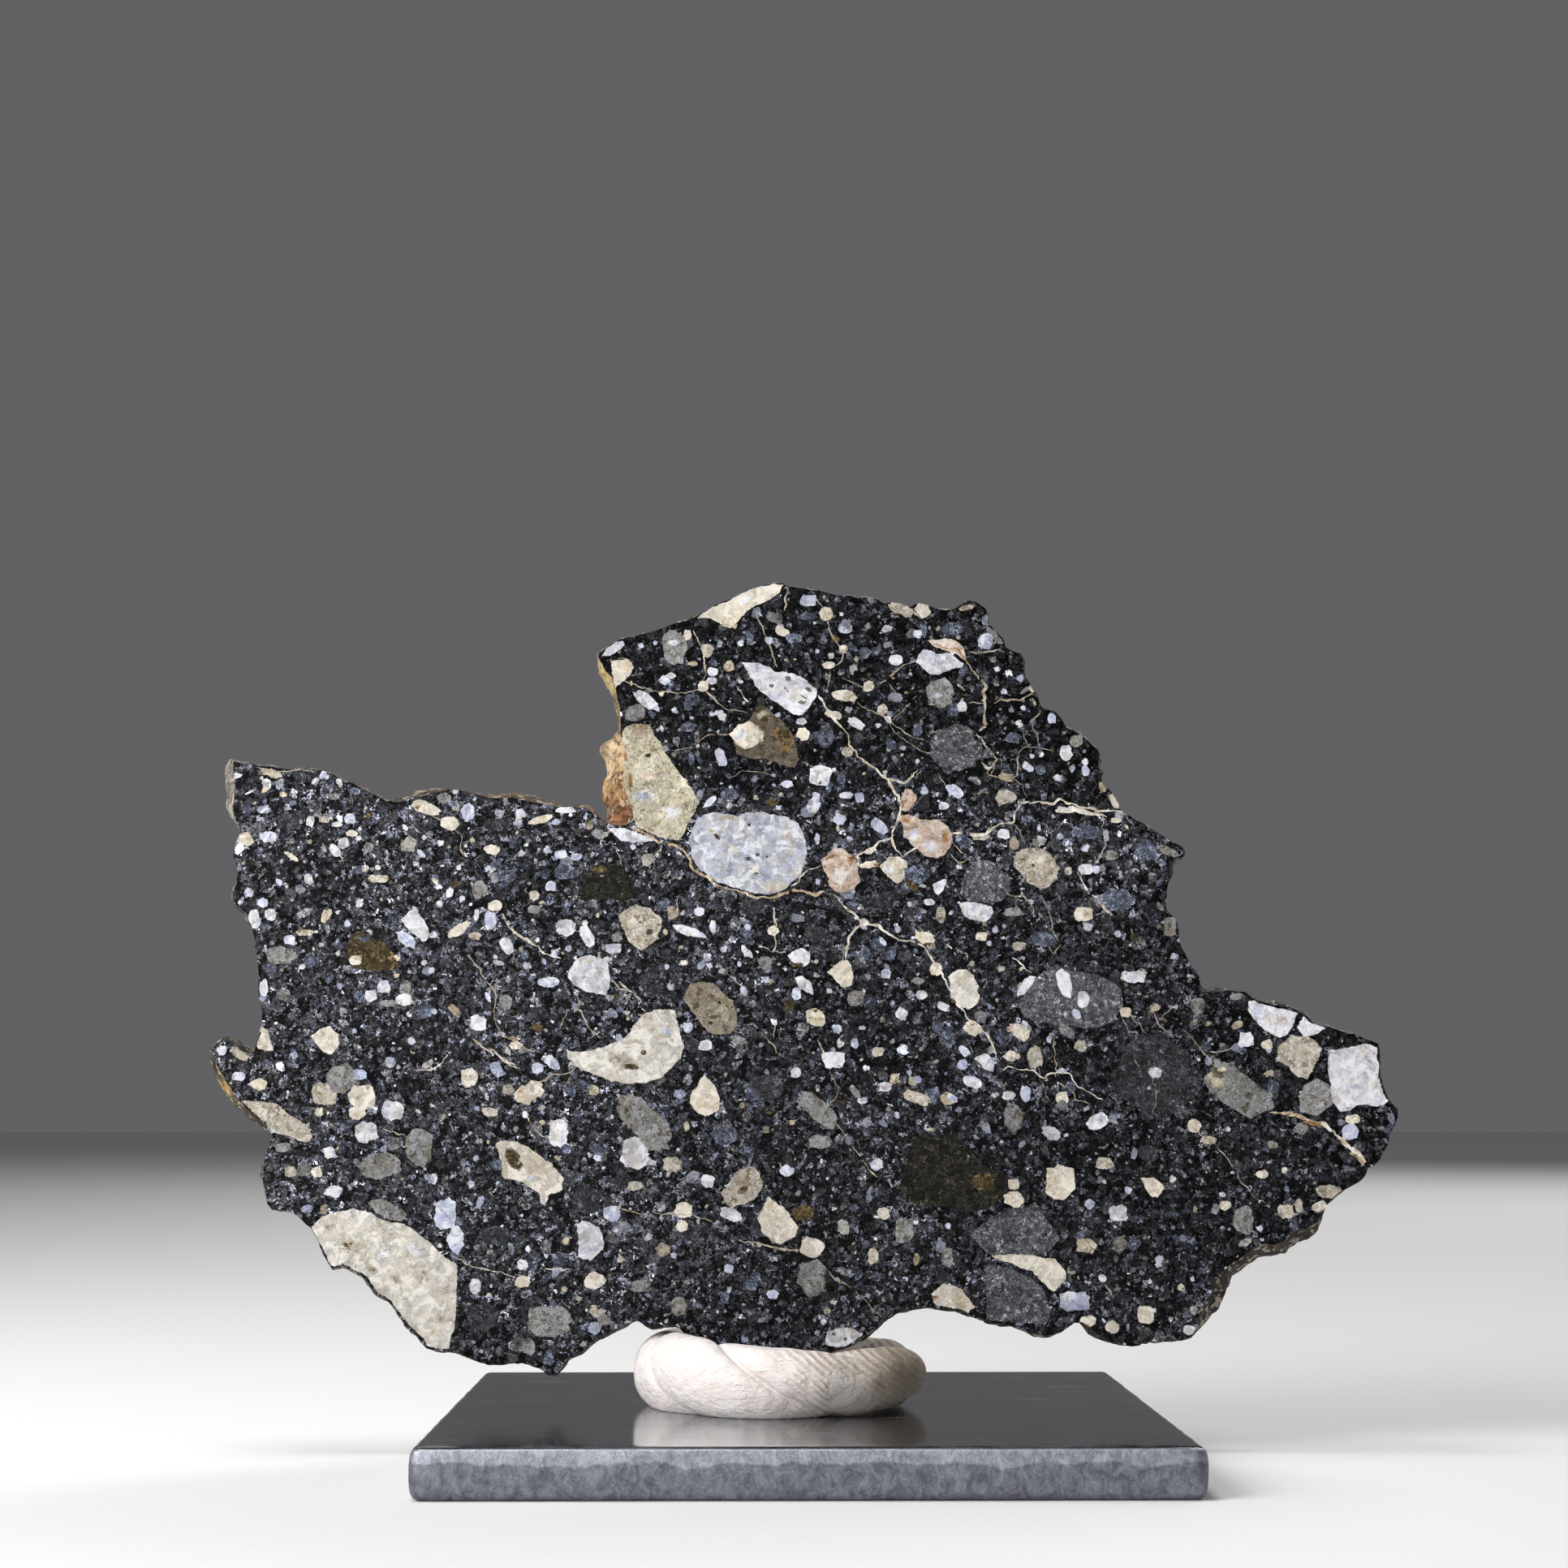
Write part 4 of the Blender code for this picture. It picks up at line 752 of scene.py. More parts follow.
# Marks on the stones: tone, and then rows as above.
MARKS = {
    "cream": (
        (-2, 40, 2.3, 0.9, 8), (-3.4, 41.2, 1.2, 0.5, -40), (16.9, 42, 1.3, 0.7, -20),
        (-4.9, 42.7, 1.6, 0.35, -45),
        (-0.4, 40.9, 0.8, 0.4, 30), (-12, 28.9, 1.7, 0.7, 30), (4.4, 37.4, 0.8, 0.6), (1.05, 30.75, 0.6, 0.5),
        (-31.9, 34.65, 0.8, 0.7), (-38.7, 25.8, 0.8, 0.5), (38.1, 24.7, 0.5), (-32.6, 16.3, 1.2, 0.5, 20),
    ),
    "beige": (
        (-5.2, 44.9, 1.7, 0.5, -10), (-12.9, 27.6, 2.8, 1.2, -15), (-33.4, 15.8, 1, 0.5),
        (-31.8, 14.4, 1.9, 1.1, -20),
        (-29.1, 15.2, 1.3, 0.7), (-26.7, 12.5, 1.2, 0.9), (-25.4, 9.6, 0.8, 1.3),
        (-14.3, 40.7, 0.4, 0.12, 15),
        (-6.4, 43.9, 0.9, 0.4, -30), (-1.1, 43.6, 1.2, 0.5, 20), (-11.2, 44.9, 0.7, 0.8),
        (35.7, 27.6, 0.7, 0.5),
        (-28.6, 12.1, 1.3, 0.6, -35), (-30.3, 12.9, 0.9, 0.5), (-11.2, 36.4, 0.8, 0.5), (34.6, 28.1, 0.5),
    ),
    "white": (
        (-9.4, 45.3, 1.5, 1.1), (2.8, 40.7, 1.3, 1.2), (9.2, 42.9, 1.3, 0.8), (18.7, 45.55, 0.8, 0.5),
        (-4.1, 60.8, 1.3, 0.5, 30), (6.2, 41.2, 0.9, 0.6), (10.9, 56.9, 0.4), (-14.4, 40.72, 0.14),
        (-4.4, 50.9, 0.9),
        (-13.2, 15.6, 0.3), (-27.4, 14.2, 1.2, 0.7, -40), (-29.6, 13.9, 0.9, 0.5),
        (-19.2, 19.2, 1, 0.5, -35), (25.2, 26.7, 0.9, 0.8), (24.7, 25.6, 0.3),
    ),
    "lavender": (
        (-11.4, 46.5, 1.7, 0.9), (8, 43.7, 0.9), (9.8, 53.8, 0.6, 0.5), (-9.3, 57.6, 0.9, 0.5),
        (-6.6, 42.4, 1.8, 1, 25), (-2.6, 43.9, 1.8, 0.9, -10), (-0.9, 41.9, 1, 0.8), (-9.7, 29.6, 0.9, 0.6),
        (12.5, 39.6, 0.2, 0.45), (24.9, 10, 0.4), (10.7, 49.2, 0.25), (-15.2, 34.2, 0.9, 0.5),
        (-14.1, 52.6, 0.2),
    ),
    "green": (
        (-10.2, 45, 1.1, 1.4), (-8.9, 47.1, 1, 1.6, -40), (-5.6, 58.95, 0.6, 0.4), (20.5, 38, 0.6, 0.5),
        (-10.5, 49.1, 1.4, 0.8), (29.9, 26.9, 0.8, 0.4), (29.5, 26.1, 1.5, 0.9, -30),
        (-2.9, 52.4, 0.9, 0.5, 30), (-3, 50.9, 0.5, 0.9),
    ),
    "pink": ((-11.7, 51.1, 1.3, 0.8), (-10.9, 47.9, 1.1, 0.7), (6.9, 41.5, 0.8, 0.5), (14.9, 29.8, 0.7, 0.5)),
    "ochre": (
        (3.55, 41.9, 0.5, 0.9, -15), (2.1, 42.1, 0.9, 0.25, 25), (10.3, 43.5, 0.6, 1.1),
        (7.5, 44.75, 0.8, 0.4, -30),
        (-1.7, 51, 0.7, 1, 25), (-1.2, 50.1, 0.6, 0.8), (-12.35, 47.6, 0.4, 1.5), (-12.4, 45.4, 0.5, 1.2),
        (-27.6, 45.65, 0.5, 0.4), (5.3, 41.5, 0.35), (7.2, 45.9, 0.4, 0.7), (9.4, 10.9, 0.5, 0.3),
        (26.9, 11.5, 0.25),
        (12.1, 30.1, 0.4, 0.25), (-20, 25.4, 0.7, 0.3, 35), (-12.7, 49.3, 0.3, 0.8), (39.3, 20.9, 0.4, 0.25),
    ),
    "brown": (
        (-1, 55, 0.35), (0.45, 54.25, 0.5, 0.25, -35), (0.05, 53.3, 0.5, 0.25), (-2.2, 54.5, 0.3, 0.2),
        (-1.2, 50.7, 0.8, 1.3, 30), (-20.5, 20.6, 0.8, 1.5, 32), (-10.9, 36.7, 0.45, 0.35),
        (-11.1, 49.4, 0.4, 0.3),
        (-6.3, 30.6, 0.5, 0.25), (9.1, 35.8, 0.7, 0.3), (-0.3, 34.35, 0.7, 0.25),
        (10.75, 31.8, 0.5, 0.25, -40),
        (0.95, 31.1, 0.25), (12.9, 19, 1.2, 1), (-14.6, 41.2, 1, 0.4), (-12.2, 27.1, 0.9, 0.3),
        (-11.3, 28.1, 0.35),
        (-33.9, 23.95, 0.3), (-4.2, 18.4, 0.7, 0.4, 30), (-32.1, 14.6, 0.5, 0.3), (15.9, 41.9, 0.4, 0.2),
    ),
    "dark": (
        (-6.1, 43.55, 0.45, 0.28, -45), (-3.8, 44.4, 0.18), (-3.85, 41.95, 0.5, 0.25), (-3.2, 42.25, 0.25),
        (-2.55, 42.1, 0.22, 0.15), (-6.55, 30.2, 0.33, 0.24), (-5.9, 31.65, 0.24), (-7, 30.6, 0.15),
        (-11.6, 37.4, 0.14), (16.6, 41.5, 0.2), (15.2, 42.3, 0.3, 0.18), (2.2, 8.35, 0.22), (3, 8, 0.2),
        (-11.1, 49.45, 0.14), (-5, 31.3, 0.15), (-7.4, 31.9, 0.12), (1.3, 47.45, 0.18), (-0.6, 56.1, 0.1),
        (-1.2, 54.3, 0.6, 0.1, -50), (0.1, 53.7, 0.5, 0.08, -30), (-13.3, 56.4, 0.9, 0.1, 5),
        (-3.3, 40.9, 0.3, 0.12),
    ),
}

# Veins: tone, width in mm, and points along each, x and height.
VEINS = (
    ("crust", 0.27, (
        -12.3, 44.25, -11.3, 43.8, -10.3, 43.25, -9.7, 43.05, -8.9, 42.85, -8.45, 42.55, -8.15, 42, -7.9,
        41.4,
        -7.55, 40.95, -6.9, 40.6, -6.3, 40.2, -5.85, 40, -5.1, 39.8, -4.45, 39.55, -3.85, 39.35, -3.1, 39.15,
        -2.3, 39.15, -1.7, 39.25, -1.2, 39.5, -0.6, 39.6, 0, 39.7, 0.45, 39.45, 1.1, 39.4, 1.7, 39.6, 2.3,
        39.5,
    )),
    ("cream", 0.18, (2.2, 39.5, 2.6, 39.1, 3.1, 38.45, 3.7, 38, 4.2, 37.45)),
    ("cream", 0.15, (-0.9, 40, -0.2, 40.4, 0, 40.8, 0.45, 41.15, 1.3, 41.4)),
    ("cream", 0.2, (
        4.3, 37.4, 4.9, 37.3, 5.55, 37.15, 6, 36.7, 6.6, 36.3, 7.25, 36.05, 7.85, 36, 8.45, 35.75, 8.9,
        35.5,
    )),
    ("cream", 0.16, (
        8.9, 35.5, 9.25, 34.9, 9.85, 33.85, 10.3, 33, 10.6, 32.15, 11.1, 31.7, 11.55, 31.1, 11.85, 30.5,
        12.45, 30.1,
        13.1, 29.5, 13.55, 28.85, 13.85, 28,
    )),
    ("cream", 0.13, (9.6, 36.15, 10.3, 35.75, 11.1, 35.45, 11.7, 35.1, 11.9, 34.6)),
    ("cream", 0.17, (4.15, 37.2, 3.4, 36.4, 3.15, 35.7, 3.1, 34.8)),
    ("cream", 0.22, (
        1.2, 53.8, 1.8, 52.8, 2.4, 51.8, 3.2, 51, 3.4, 50.2, 4.2, 49.1, 5.4, 48.4, 6.1, 47.7, 6.5, 47.1,
        6.9, 46.5,
        7.1, 45.7, 7, 44.9, 6.6, 44.3, 6.4, 43.5, 6.45, 42.9, 6.85, 42.4, 7.2, 42.05,
    )),
    ("cream", 0.2, (6.1, 47.75, 6.8, 47.6, 7.4, 47.5, 8, 47.9, 8.3, 48.4)),
    ("cream", 0.2, (7.2, 42.05, 7.85, 42.5, 8.4, 42.85)),
    ("cream", 0.2, (
        6.4, 43.5, 5.55, 43.2, 5.1, 42.6, 4.45, 42.45, 4, 42.1, 4.15, 41.45, 4.8, 41.5, 5.6, 41.7,
    )),
    ("cream", 0.26, (
        10.7, 43.85, 11.8, 43.8, 12.9, 43.65, 13.3, 43.8, 14.2, 44.4, 15.2, 44.6, 15.3, 45.3, 15.6, 46,
        16.4, 46.1,
        17.6, 46.05, 18.1, 45.95, 18.6, 46.3, 19.1, 46, 19.8, 45.8, 20.6, 45.6, 21.4, 45.35, 22.2, 45.4,
        22.9, 45.3,
        23.2, 45.1,
    )),
    ("cream", 0.38, (18.2, 45.5, 18.7, 45.35, 19.5, 45.6, 20.3, 45.25, 21, 45.2, 21.9, 45.1)),
    ("sand", 0.16, (12, 53.2, 13, 53.25, 14, 53.3, 14.8, 53.5, 15.8, 53.5, 16.6, 53.9, 17, 53.7)),
    ("sand", 0.2, (16.7, 53.7, 17, 53, 17.15, 52.6, 16.8, 52.1, 16.5, 51.9)),
    ("sand", 0.24, (
        11.9, 56.2, 12.4, 55.6, 12.9, 55, 13.3, 54.5, 13.1, 54, 13.2, 53.2, 13.2, 52.3, 13.3, 51.5, 12.7,
        51.2,
    )),
    ("sand", 0.16, (10.9, 55.3, 11.2, 54.8, 11.6, 54.4, 11.8, 54.1)),
    ("sand", 0.12, (12.6, 51.1, 13.2, 50.3, 13.8, 49.6, 14.1, 49.2, 13.7, 48.8, 13.3, 48.2)),
    ("sand", 0.2, (13, 48.9, 13.4, 48.5, 13.9, 48.6, 13.6, 48)),
    ("sand", 0.09, (15.8, 51.5, 16, 50.7, 16.3, 50.15, 17.2, 50, 18.2, 49.8)),
    ("sand", 0.09, (16.3, 50.15, 15.7, 49.8, 15.5, 49.2, 15.6, 48.3, 15.2, 47.8, 14.3, 47.7, 13.3, 48.1)),
    ("sand", 0.09, (15.2, 47.8, 15.9, 47.2, 16.3, 46.4)),
    ("sand", 0.08, (16.7, 51.8, 16.9, 51, 17.1, 50.2)),
    ("sand", 0.08, (12.1, 57, 13, 57, 13.9, 57.1, 14.5, 57.3)),
    ("sand", 0.08, (9, 50.9, 10, 51.3, 11, 51.2, 12.4, 51.2)),
    ("sand", 0.14, (5.4, 54.6, 6.2, 54.9, 6.9, 55.6, 7.6, 56.1, 8.3, 56.4)),
    ("sand", 0.11, (
        4, 53.2, 4.9, 52.8, 5.7, 52.4, 6.2, 52, 6.6, 51.3, 7.2, 50.7, 7.9, 50.2, 8.4, 49.9, 9.2, 49.6,
    )),
    ("sand", 0.09, (6.3, 52, 6.9, 51.6, 7.5, 51, 8.2, 50.8, 8.9, 50.5)),
    ("sand", 0.09, (2.2, 55.7, 2.9, 55.1, 3.4, 54.8, 4.1, 54.5, 4.6, 54.3)),
    ("sand", 0.08, (2, 55.7, 2, 54.9, 1.8, 54.1)),
    ("sand", 0.08, (1, 61.2, 1.4, 60.3, 1.9, 59.2, 2.1, 58.3, 2.5, 57.7, 2.9, 57, 2.9, 56.4, 2.3, 55.9)),
    ("sand", 0.08, (6.3, 54.8, 6.8, 54, 7.2, 53.2, 7.5, 52.9, 6.9, 52.4, 6.5, 52)),
    ("white", 0.13, (-3.1, 59.9, -2.7, 59.5, -2.2, 59)),
    ("sand", 0.09, (-3.3, 59.8, -2.8, 58.8, -2.6, 58, -2.2, 57.1, -2, 56.3, -1.7, 55.8)),
    ("sand", 0.11, (-1.2, 61.8, -1.1, 61.2, -1.1, 60.5, -1.3, 60)),
    ("sand", 0.11, (-7.9, 58.6, -7.4, 57.6, -7.1, 56.8, -7, 55.5, -7.1, 54.8)),
    ("sand", 0.08, (-12.9, 54.9, -12, 54.5, -11, 54.1, -9.9, 54, -9, 54, -8.3, 54.1, -7.4, 54.1)),
    ("sand", 0.12, (-7, 54.1, -6.2, 53.5, -5.4, 52.7, -4.8, 52.7, -4, 52.5)),
    ("white", 0.12, (-4.6, 54.4, -4.3, 53.8, -3.8, 53, -3.6, 52.8)),
    ("sand", 0.1, (-9.4, 49.8, -8.5, 49.9, -7.6, 50.3, -6.8, 50.8, -5.9, 51, -5.2, 51)),
    ("sand", 0.07, (-5.1, 47.9, -4.2, 48.3, -3, 48.2, -2.2, 48)),
    ("sand", 0.09, (-0.3, 49.2, 0.1, 48.9, 0.6, 48.5)),
    ("sand", 0.09, (9.9, 48.2, 10.1, 47.6, 10.4, 47.1)),
    ("sand", 0.1, (10.8, 43.2, 11.3, 42.6, 11.6, 42.3)),
    ("sand", 0.1, (10.6, 42.3, 11.2, 41.6, 11.7, 41.8, 12.1, 42.1)),
    ("sand", 0.09, (21.6, 45.2, 21.7, 44, 21.8, 42.8, 21.4, 42.1, 20.8, 41.5)),
    ("sand", 0.07, (14.6, 44.6, 15.3, 44.3, 15.9, 43.7, 16.1, 43.1)),
    ("cream", 0.2, (
        -21.45, 38, -20.9, 37, -20.3, 36.5, -19.55, 36, -18.9, 35.6, -18.45, 35.1, -17.85, 34.9, -17.3,
        34.8,
    )),
    ("cream", 0.16, (
        -14.2, 34.6, -13.85, 34.1, -13.25, 33.3, -12.8, 32.8, -12, 32.3, -11.5, 31.7, -11.25, 31.1,
    )),
    ("cream", 0.1, (-13.7, 33.2, -13, 32.7, -12.4, 32.5)),
    ("sand", 0.08, (-12.7, 32.7, -12.6, 31.8, -12.5, 30.9, -12.4, 30.3)),
    ("sand", 0.1, (
        -24, 35.1, -23.2, 34.3, -22.6, 33.3, -22, 32.6, -21.8, 31.85, -21.9, 30.9, -21.85, 30, -21.25, 29.2,
        -20.6, 28.8, -19.4, 28.3, -18.6, 28,
    )),
    ("sand", 0.16, (-23.6, 29.1, -22.8, 28.7, -22, 28.2, -21.1, 27.5, -20.2, 26.95)),
    ("sand", 0.16, (-19.4, 25.5, -18.6, 26, -17.85, 26.5, -16.9, 26.65, -16, 26.95)),
    ("sand", 0.08, (
        -15.85, 32.5, -16, 31.7, -16.3, 31.2, -15.7, 31.15, -15.45, 30.5, -15.2, 29.85, -14.8, 29.5, -14.3,
        29.15,
    )),
    ("sand", 0.07, (-16.3, 31.2, -16.8, 31.1, -17, 30.5, -17.2, 29.8)),
    ("cream", 0.12, (-10, 42.95, -10.4, 42.5, -10.6, 41.85, -10.7, 41.2)),
    ("sand", 0.07, (-13.4, 42.9, -13.1, 42.15, -12.85, 41.2)),
    ("sand", 0.07, (-8.8, 39.2, -8.9, 38.6, -9, 38)),
    ("cream", 0.1, (-1.95, 39.1, -2, 38, -1.85, 37.2, -1.9, 35.85, -2, 35.2)),
    ("sand", 0.1, (-2.9, 35.7, -2.15, 35.4, -1.4, 35.3, -1, 35.1)),
    ("sand", 0.08, (-5.2, 33.6, -4.6, 33.15, -4, 32.8, -3.2, 32.5)),
    ("sand", 0.08, (-4, 30.15, -3.5, 30.15, -2.9, 29.4, -2.5, 29.1, -1.85, 28.4, -1.7, 27.7)),
    ("sand", 0.08, (-5, 29.9, -4.5, 29.5, -4.1, 29.2)),
    ("sand", 0.07, (-1.8, 30.2, -2, 29.6, -2, 29.1)),
    ("cream", 0.12, (13.7, 34.8, 14.55, 35.2, 15.1, 34.85, 15.85, 34.25, 16.3, 33.75)),
    ("sand", 0.1, (14.55, 39.7, 15.1, 39.25, 16, 39.15, 16.4, 38.8, 16.6, 38, 16.9, 37.8)),
    ("sand", 0.1, (17.25, 39.3, 17.75, 38.15, 18, 36.9, 18.45, 35.85, 18, 35.25, 17.4, 35.85, 16.8, 36.2)),
    ("cream", 0.2, (19.7, 41.1, 20.3, 40, 20.9, 39.25, 21.4, 38.7, 22, 38.1, 22.6, 37.5)),
    ("sand", 0.13, (18.15, 26.15, 19.2, 25.4, 19.55, 24.8, 20.5, 24.4)),
    ("sand", 0.07, (16.6, 28.6, 16.9, 26.8, 17.1, 25.85, 17.5, 24.8)),
    ("sand", 0.06, (18, 29.5, 18.1, 27.8, 18.15, 26.2)),
    ("sand", 0.1, (1.1, 28.9, 1.4, 28.4, 1.7, 27.9)),
    ("sand", 0.08, (2, 26.8, 2.6, 25.7, 2.45, 24.9, 1.85, 24.6)),
    ("sand", 0.07, (13.1, 26.6, 14, 25.85, 14.8, 25.7)),
    ("sand", 0.1, (-27.1, 45, -26.3, 44.9, -25.7, 44.6)),
    ("sand", 0.1, (-24.9, 44.1, -24.4, 43.5, -24.5, 42.7, -24.2, 42, -24.1, 41.3)),
    ("cream", 0.13, (-33.2, 42.3, -32.8, 41.7)),
    ("sand", 0.1, (-29.8, 46.05, -29.6, 45.4, -29.5, 45)),
    ("sand", 0.14, (-39.2, 48.5, -38.2, 48.3, -37.3, 48.2, -36.4, 48.35, -35.4, 48.25)),
    ("sand", 0.15, (
        -10.6, 16.8, -9.5, 16.7, -7.8, 16.7, -6.3, 16.2, -5.2, 15.7, -4.3, 14.8, -3, 14.7, -1.2, 14.2, -0.2,
        14.25,
    )),
    ("sand", 0.12, (0.9, 13.7, 1.6, 13, 2.2, 12.3, 3.3, 11.7, 4.3, 10.8, 5.5, 9.5)),
    ("cream", 0.1, (-23.4, 28.9, -22.3, 28.2, -21.3, 27.5, -20.4, 27.2)),
    ("cream", 0.1, (-25, 28.2, -25.6, 27.5, -26.2, 27, -27.4, 26.8)),
    ("cream", 0.09, (-20.1, 24.2, -19.3, 23.2, -18.5, 22.2, -17.3, 21.8, -16.1, 21.6)),
    ("cream", 0.1, (-24.6, 13.7, -23.4, 13.1, -22.2, 12.75, -21.2, 12.6, -20.35, 12.3)),
    ("cream", 0.09, (-18.2, 13, -17.2, 12.8, -16.1, 12.8)),
    ("sand", 0.09, (-13.3, 17.4, -12, 16.9, -10.5, 16.5)),
    ("sand", 0.08, (-29.7, 22.6, -28.6, 22.3, -27.6, 22.1)),
    ("cream", 0.09, (14, 27, 15.2, 27, 16.4, 26.8, 17.3, 26.3, 18.2, 26.8, 19, 26.6, 19.7, 25.6, 21.5, 24.7)),
    ("sand", 0.08, (21.3, 11.8, 22, 10.9)),
    ("sand", 0.08, (26.8, 24.1, 27.5, 23, 29.2, 21.7, 30, 21, 30.5, 20, 31.2, 18.9, 32.1, 17.9, 33, 17.5)),
    ("sand", 0.1, (23.4, 31.3, 25.2, 30.9, 25.5, 30.15, 26.5, 29.2)),
    ("sand", 0.09, (25.5, 30.4, 26.2, 31.2, 27.2, 31.8)),
    ("sand", 0.1, (22.9, 30.6, 23.4, 29.6, 24, 29.6)),
    ("sand", 0.09, (23.3, 30.9, 24.1, 30, 24.5, 29.5)),
    ("sand", 0.1, (27.1, 29.8, 28.1, 28.9, 28.8, 27.9, 29.4, 27.1)),
    ("sand", 0.1, (29, 28.1, 30.5, 28.3, 31.2, 28.7)),
    ("crust", 0.4, (33.3, 23.9, 34.2, 23.75, 35.2, 23.7, 36, 23.35, 37.4, 23.1)),
    ("ochre", 0.2, (35.6, 23.2, 36.3, 23.0, 37.2, 22.9)),
    ("cream", 0.55, (37, 23.15, 37.9, 22.4, 38.8, 21.5, 39.35, 21, 40.1, 20.4)),
    ("crust", 0.3, (38.9, 21.1, 39.4, 20.7, 39.9, 20.2)),
    ("sand", 0.08, (2.4, 23.1, 3.1, 22.2, 3.9, 21, 4.7, 19.8, 5.5, 19.3, 6.6, 19.4)),
    ("dark", 0.16, (7.8, 60.3, 8.4, 59.8, 8.75, 59.2, 8.85, 58.3, 9.3, 57.5, 10, 57.05, 10.5, 57)),
    ("ochre", 0.18, (9.5, 57.5, 10.1, 57.4, 10.6, 57.15, 11.2, 57.3, 11.6, 56.7, 12, 56.2)),
    ("dark", 0.1, (15.3, 35, 16.2, 34.6, 17, 34.7)),
    ("sand", 0.07, (23, 28.4, 24, 27.2, 24.9, 26.5, 25.2, 25.2, 25, 23.8)),
)

# Red, green and blue of each tone of stone, from 0 to 255, and how much it counts as a clast.
STONE_TONES = {
    "white": (232, 231, 236, 1), "lavender": (204, 208, 228, 1), "cream": (233, 224, 208, 0.93),
    "milk": (214, 216, 226, 1), "chalk": (231, 225, 214, 0.96), "lens": (114, 105, 90, 0.82),
    "beige": (203, 195, 181, 0.85), "grey": (152, 152, 151, 0.8), "slate": (96, 102, 116, 0.55),
    "ash": (102, 102, 107, 0.5), "shade": (99, 100, 105, 0.5), "charcoal": (66, 67, 70, 0.5),
    "olive": (47, 45, 38, 0.5),
    "brown": (93, 80, 55, 0.5), "pink": (232, 209, 192, 0.88), "green": (220, 212, 187, 0.85),
    "umber": (170, 160, 142, 0.8), "sand": (196, 184, 165, 0.85), "crust": (214, 192, 160, 0.85),
    "ochre": (168, 124, 76, 0.82), "dark": (38, 33, 28, 0.45),
}
# The small grains between the stones: colour, and how many of each hundred.
GRAIN_TONES = (
    ((58, 58, 62), 27), ((80, 85, 99), 22), ((98, 98, 101), 15), ((134, 140, 158), 13), ((158, 156, 153), 7),
    ((198, 201, 216), 8), ((170, 160, 140), 5), ((30, 30, 31), 2), ((74, 68, 48), 1),
)
# What a shape of the mosaic is.
GROUND, GRAIN, STONE, THIN_VEIN, THICK_VEIN, MARK, CRISP_MARK = range(7)
VEINED, MARKED = (THIN_VEIN, THICK_VEIN), (MARK, CRISP_MARK)
# All in mm: how far apart the loose grains and the points of a vein and of an outline are, and the
# widths over which a vein counts as thick and is never broken.
GRAIN_SPACING, FAR_SPACING = 0.7, 1.2
VEIN_STEP, OUTLINE_STEP = 0.13, 0.24
THICK_WIDTH, UNBROKEN_WIDTH = 0.21, 0.3
CRISP_TONES, CRISP_SWELL = ("dark", "brown"), 1.25
# How much of the tone below comes through at the border of a shape that lies on a stone.
VEIN_BLEND, MARK_BLEND, STONE_BLEND = 0.25, 0.8, 0.3


def anticlockwise(corners):
    """The corners in the turning sense that the joining routine needs."""
    after = np.roll(corners, -1, axis=0)
    area = np.sum(corners[:, 0] * after[:, 1] - after[:, 0] * corners[:, 1])
    return corners if area > 0 else corners[::-1]


def pebble(row, random, corners=None):
    """An uneven oval: a superellipse whose radius wavers, turned by its tilt. Rows are x, height, width,
    and then the height and the tilt."""
    x, z, wide = row[:3]
    high = row[3] if len(row) > 3 else wide
    tilt = math.radians(row[4]) if len(row) > 4 else 0.0
    corners = corners or int(np.clip(10 + 4 * max(wide, high), 10, 26))
    angle = (np.arange(corners) + random.uniform(-0.32, 0.32, corners)) * 2 * math.pi / corners
    power = random.uniform(1.7, 3.4)
    radius = (np.abs(np.cos(angle)) ** power + np.abs(np.sin(angle)) ** power) ** (-1 / power)
    radius = radius * (1 + random.uniform(-0.13, 0.13, corners))
    along, across = wide / 2 * radius * np.cos(angle), high / 2 * radius * np.sin(angle)
    return np.stack([
        x + along * math.cos(tilt) - across * math.sin(tilt),
        z + along * math.sin(tilt) + across * math.cos(tilt),
    ], -1)


def resample(path, spacing, closed):
    """Points along a path about one spacing apart."""
    path = np.vstack([path, path[:1]]) if closed else path
    length = np.concatenate([[0], np.cumsum(np.hypot(*np.diff(path, axis=0).T))])
    count = max(3 if closed else 2, round(length[-1] / spacing))
    at = np.linspace(0, length[-1], count + (not closed) * 1, endpoint=not closed)
    return np.stack([np.interp(at, length, path[:, 0]), np.interp(at, length, path[:, 1])], -1)


def sway(points, size, seed):
    """Smooth random heights at points of the cut face, in mm."""
    return drift(np.insert(points, 2, 0.0, axis=1), size, seed)


def shifts(points, size, seed):
    """Smooth random shifts along both directions of the cut face."""
    return np.stack([sway(points, size, seed), sway(points, size, seed + 1)], -1)


def left_of(steps_taken):
    """Unit steps at right angles to the given ones, to their left."""
    across = np.stack([-steps_taken[..., 1], steps_taken[..., 0]], -1)
    return across / np.hypot(across[..., 0], across[..., 1])[..., None]


def shaped(flat, seed):
    """A stone's own outline, with its straight sides broken up."""
    outline = resample(np.array(flat, float).reshape(-1, 2), OUTLINE_STEP, True)
    return outline + 0.075 * shifts(outline, 0.33, seed)


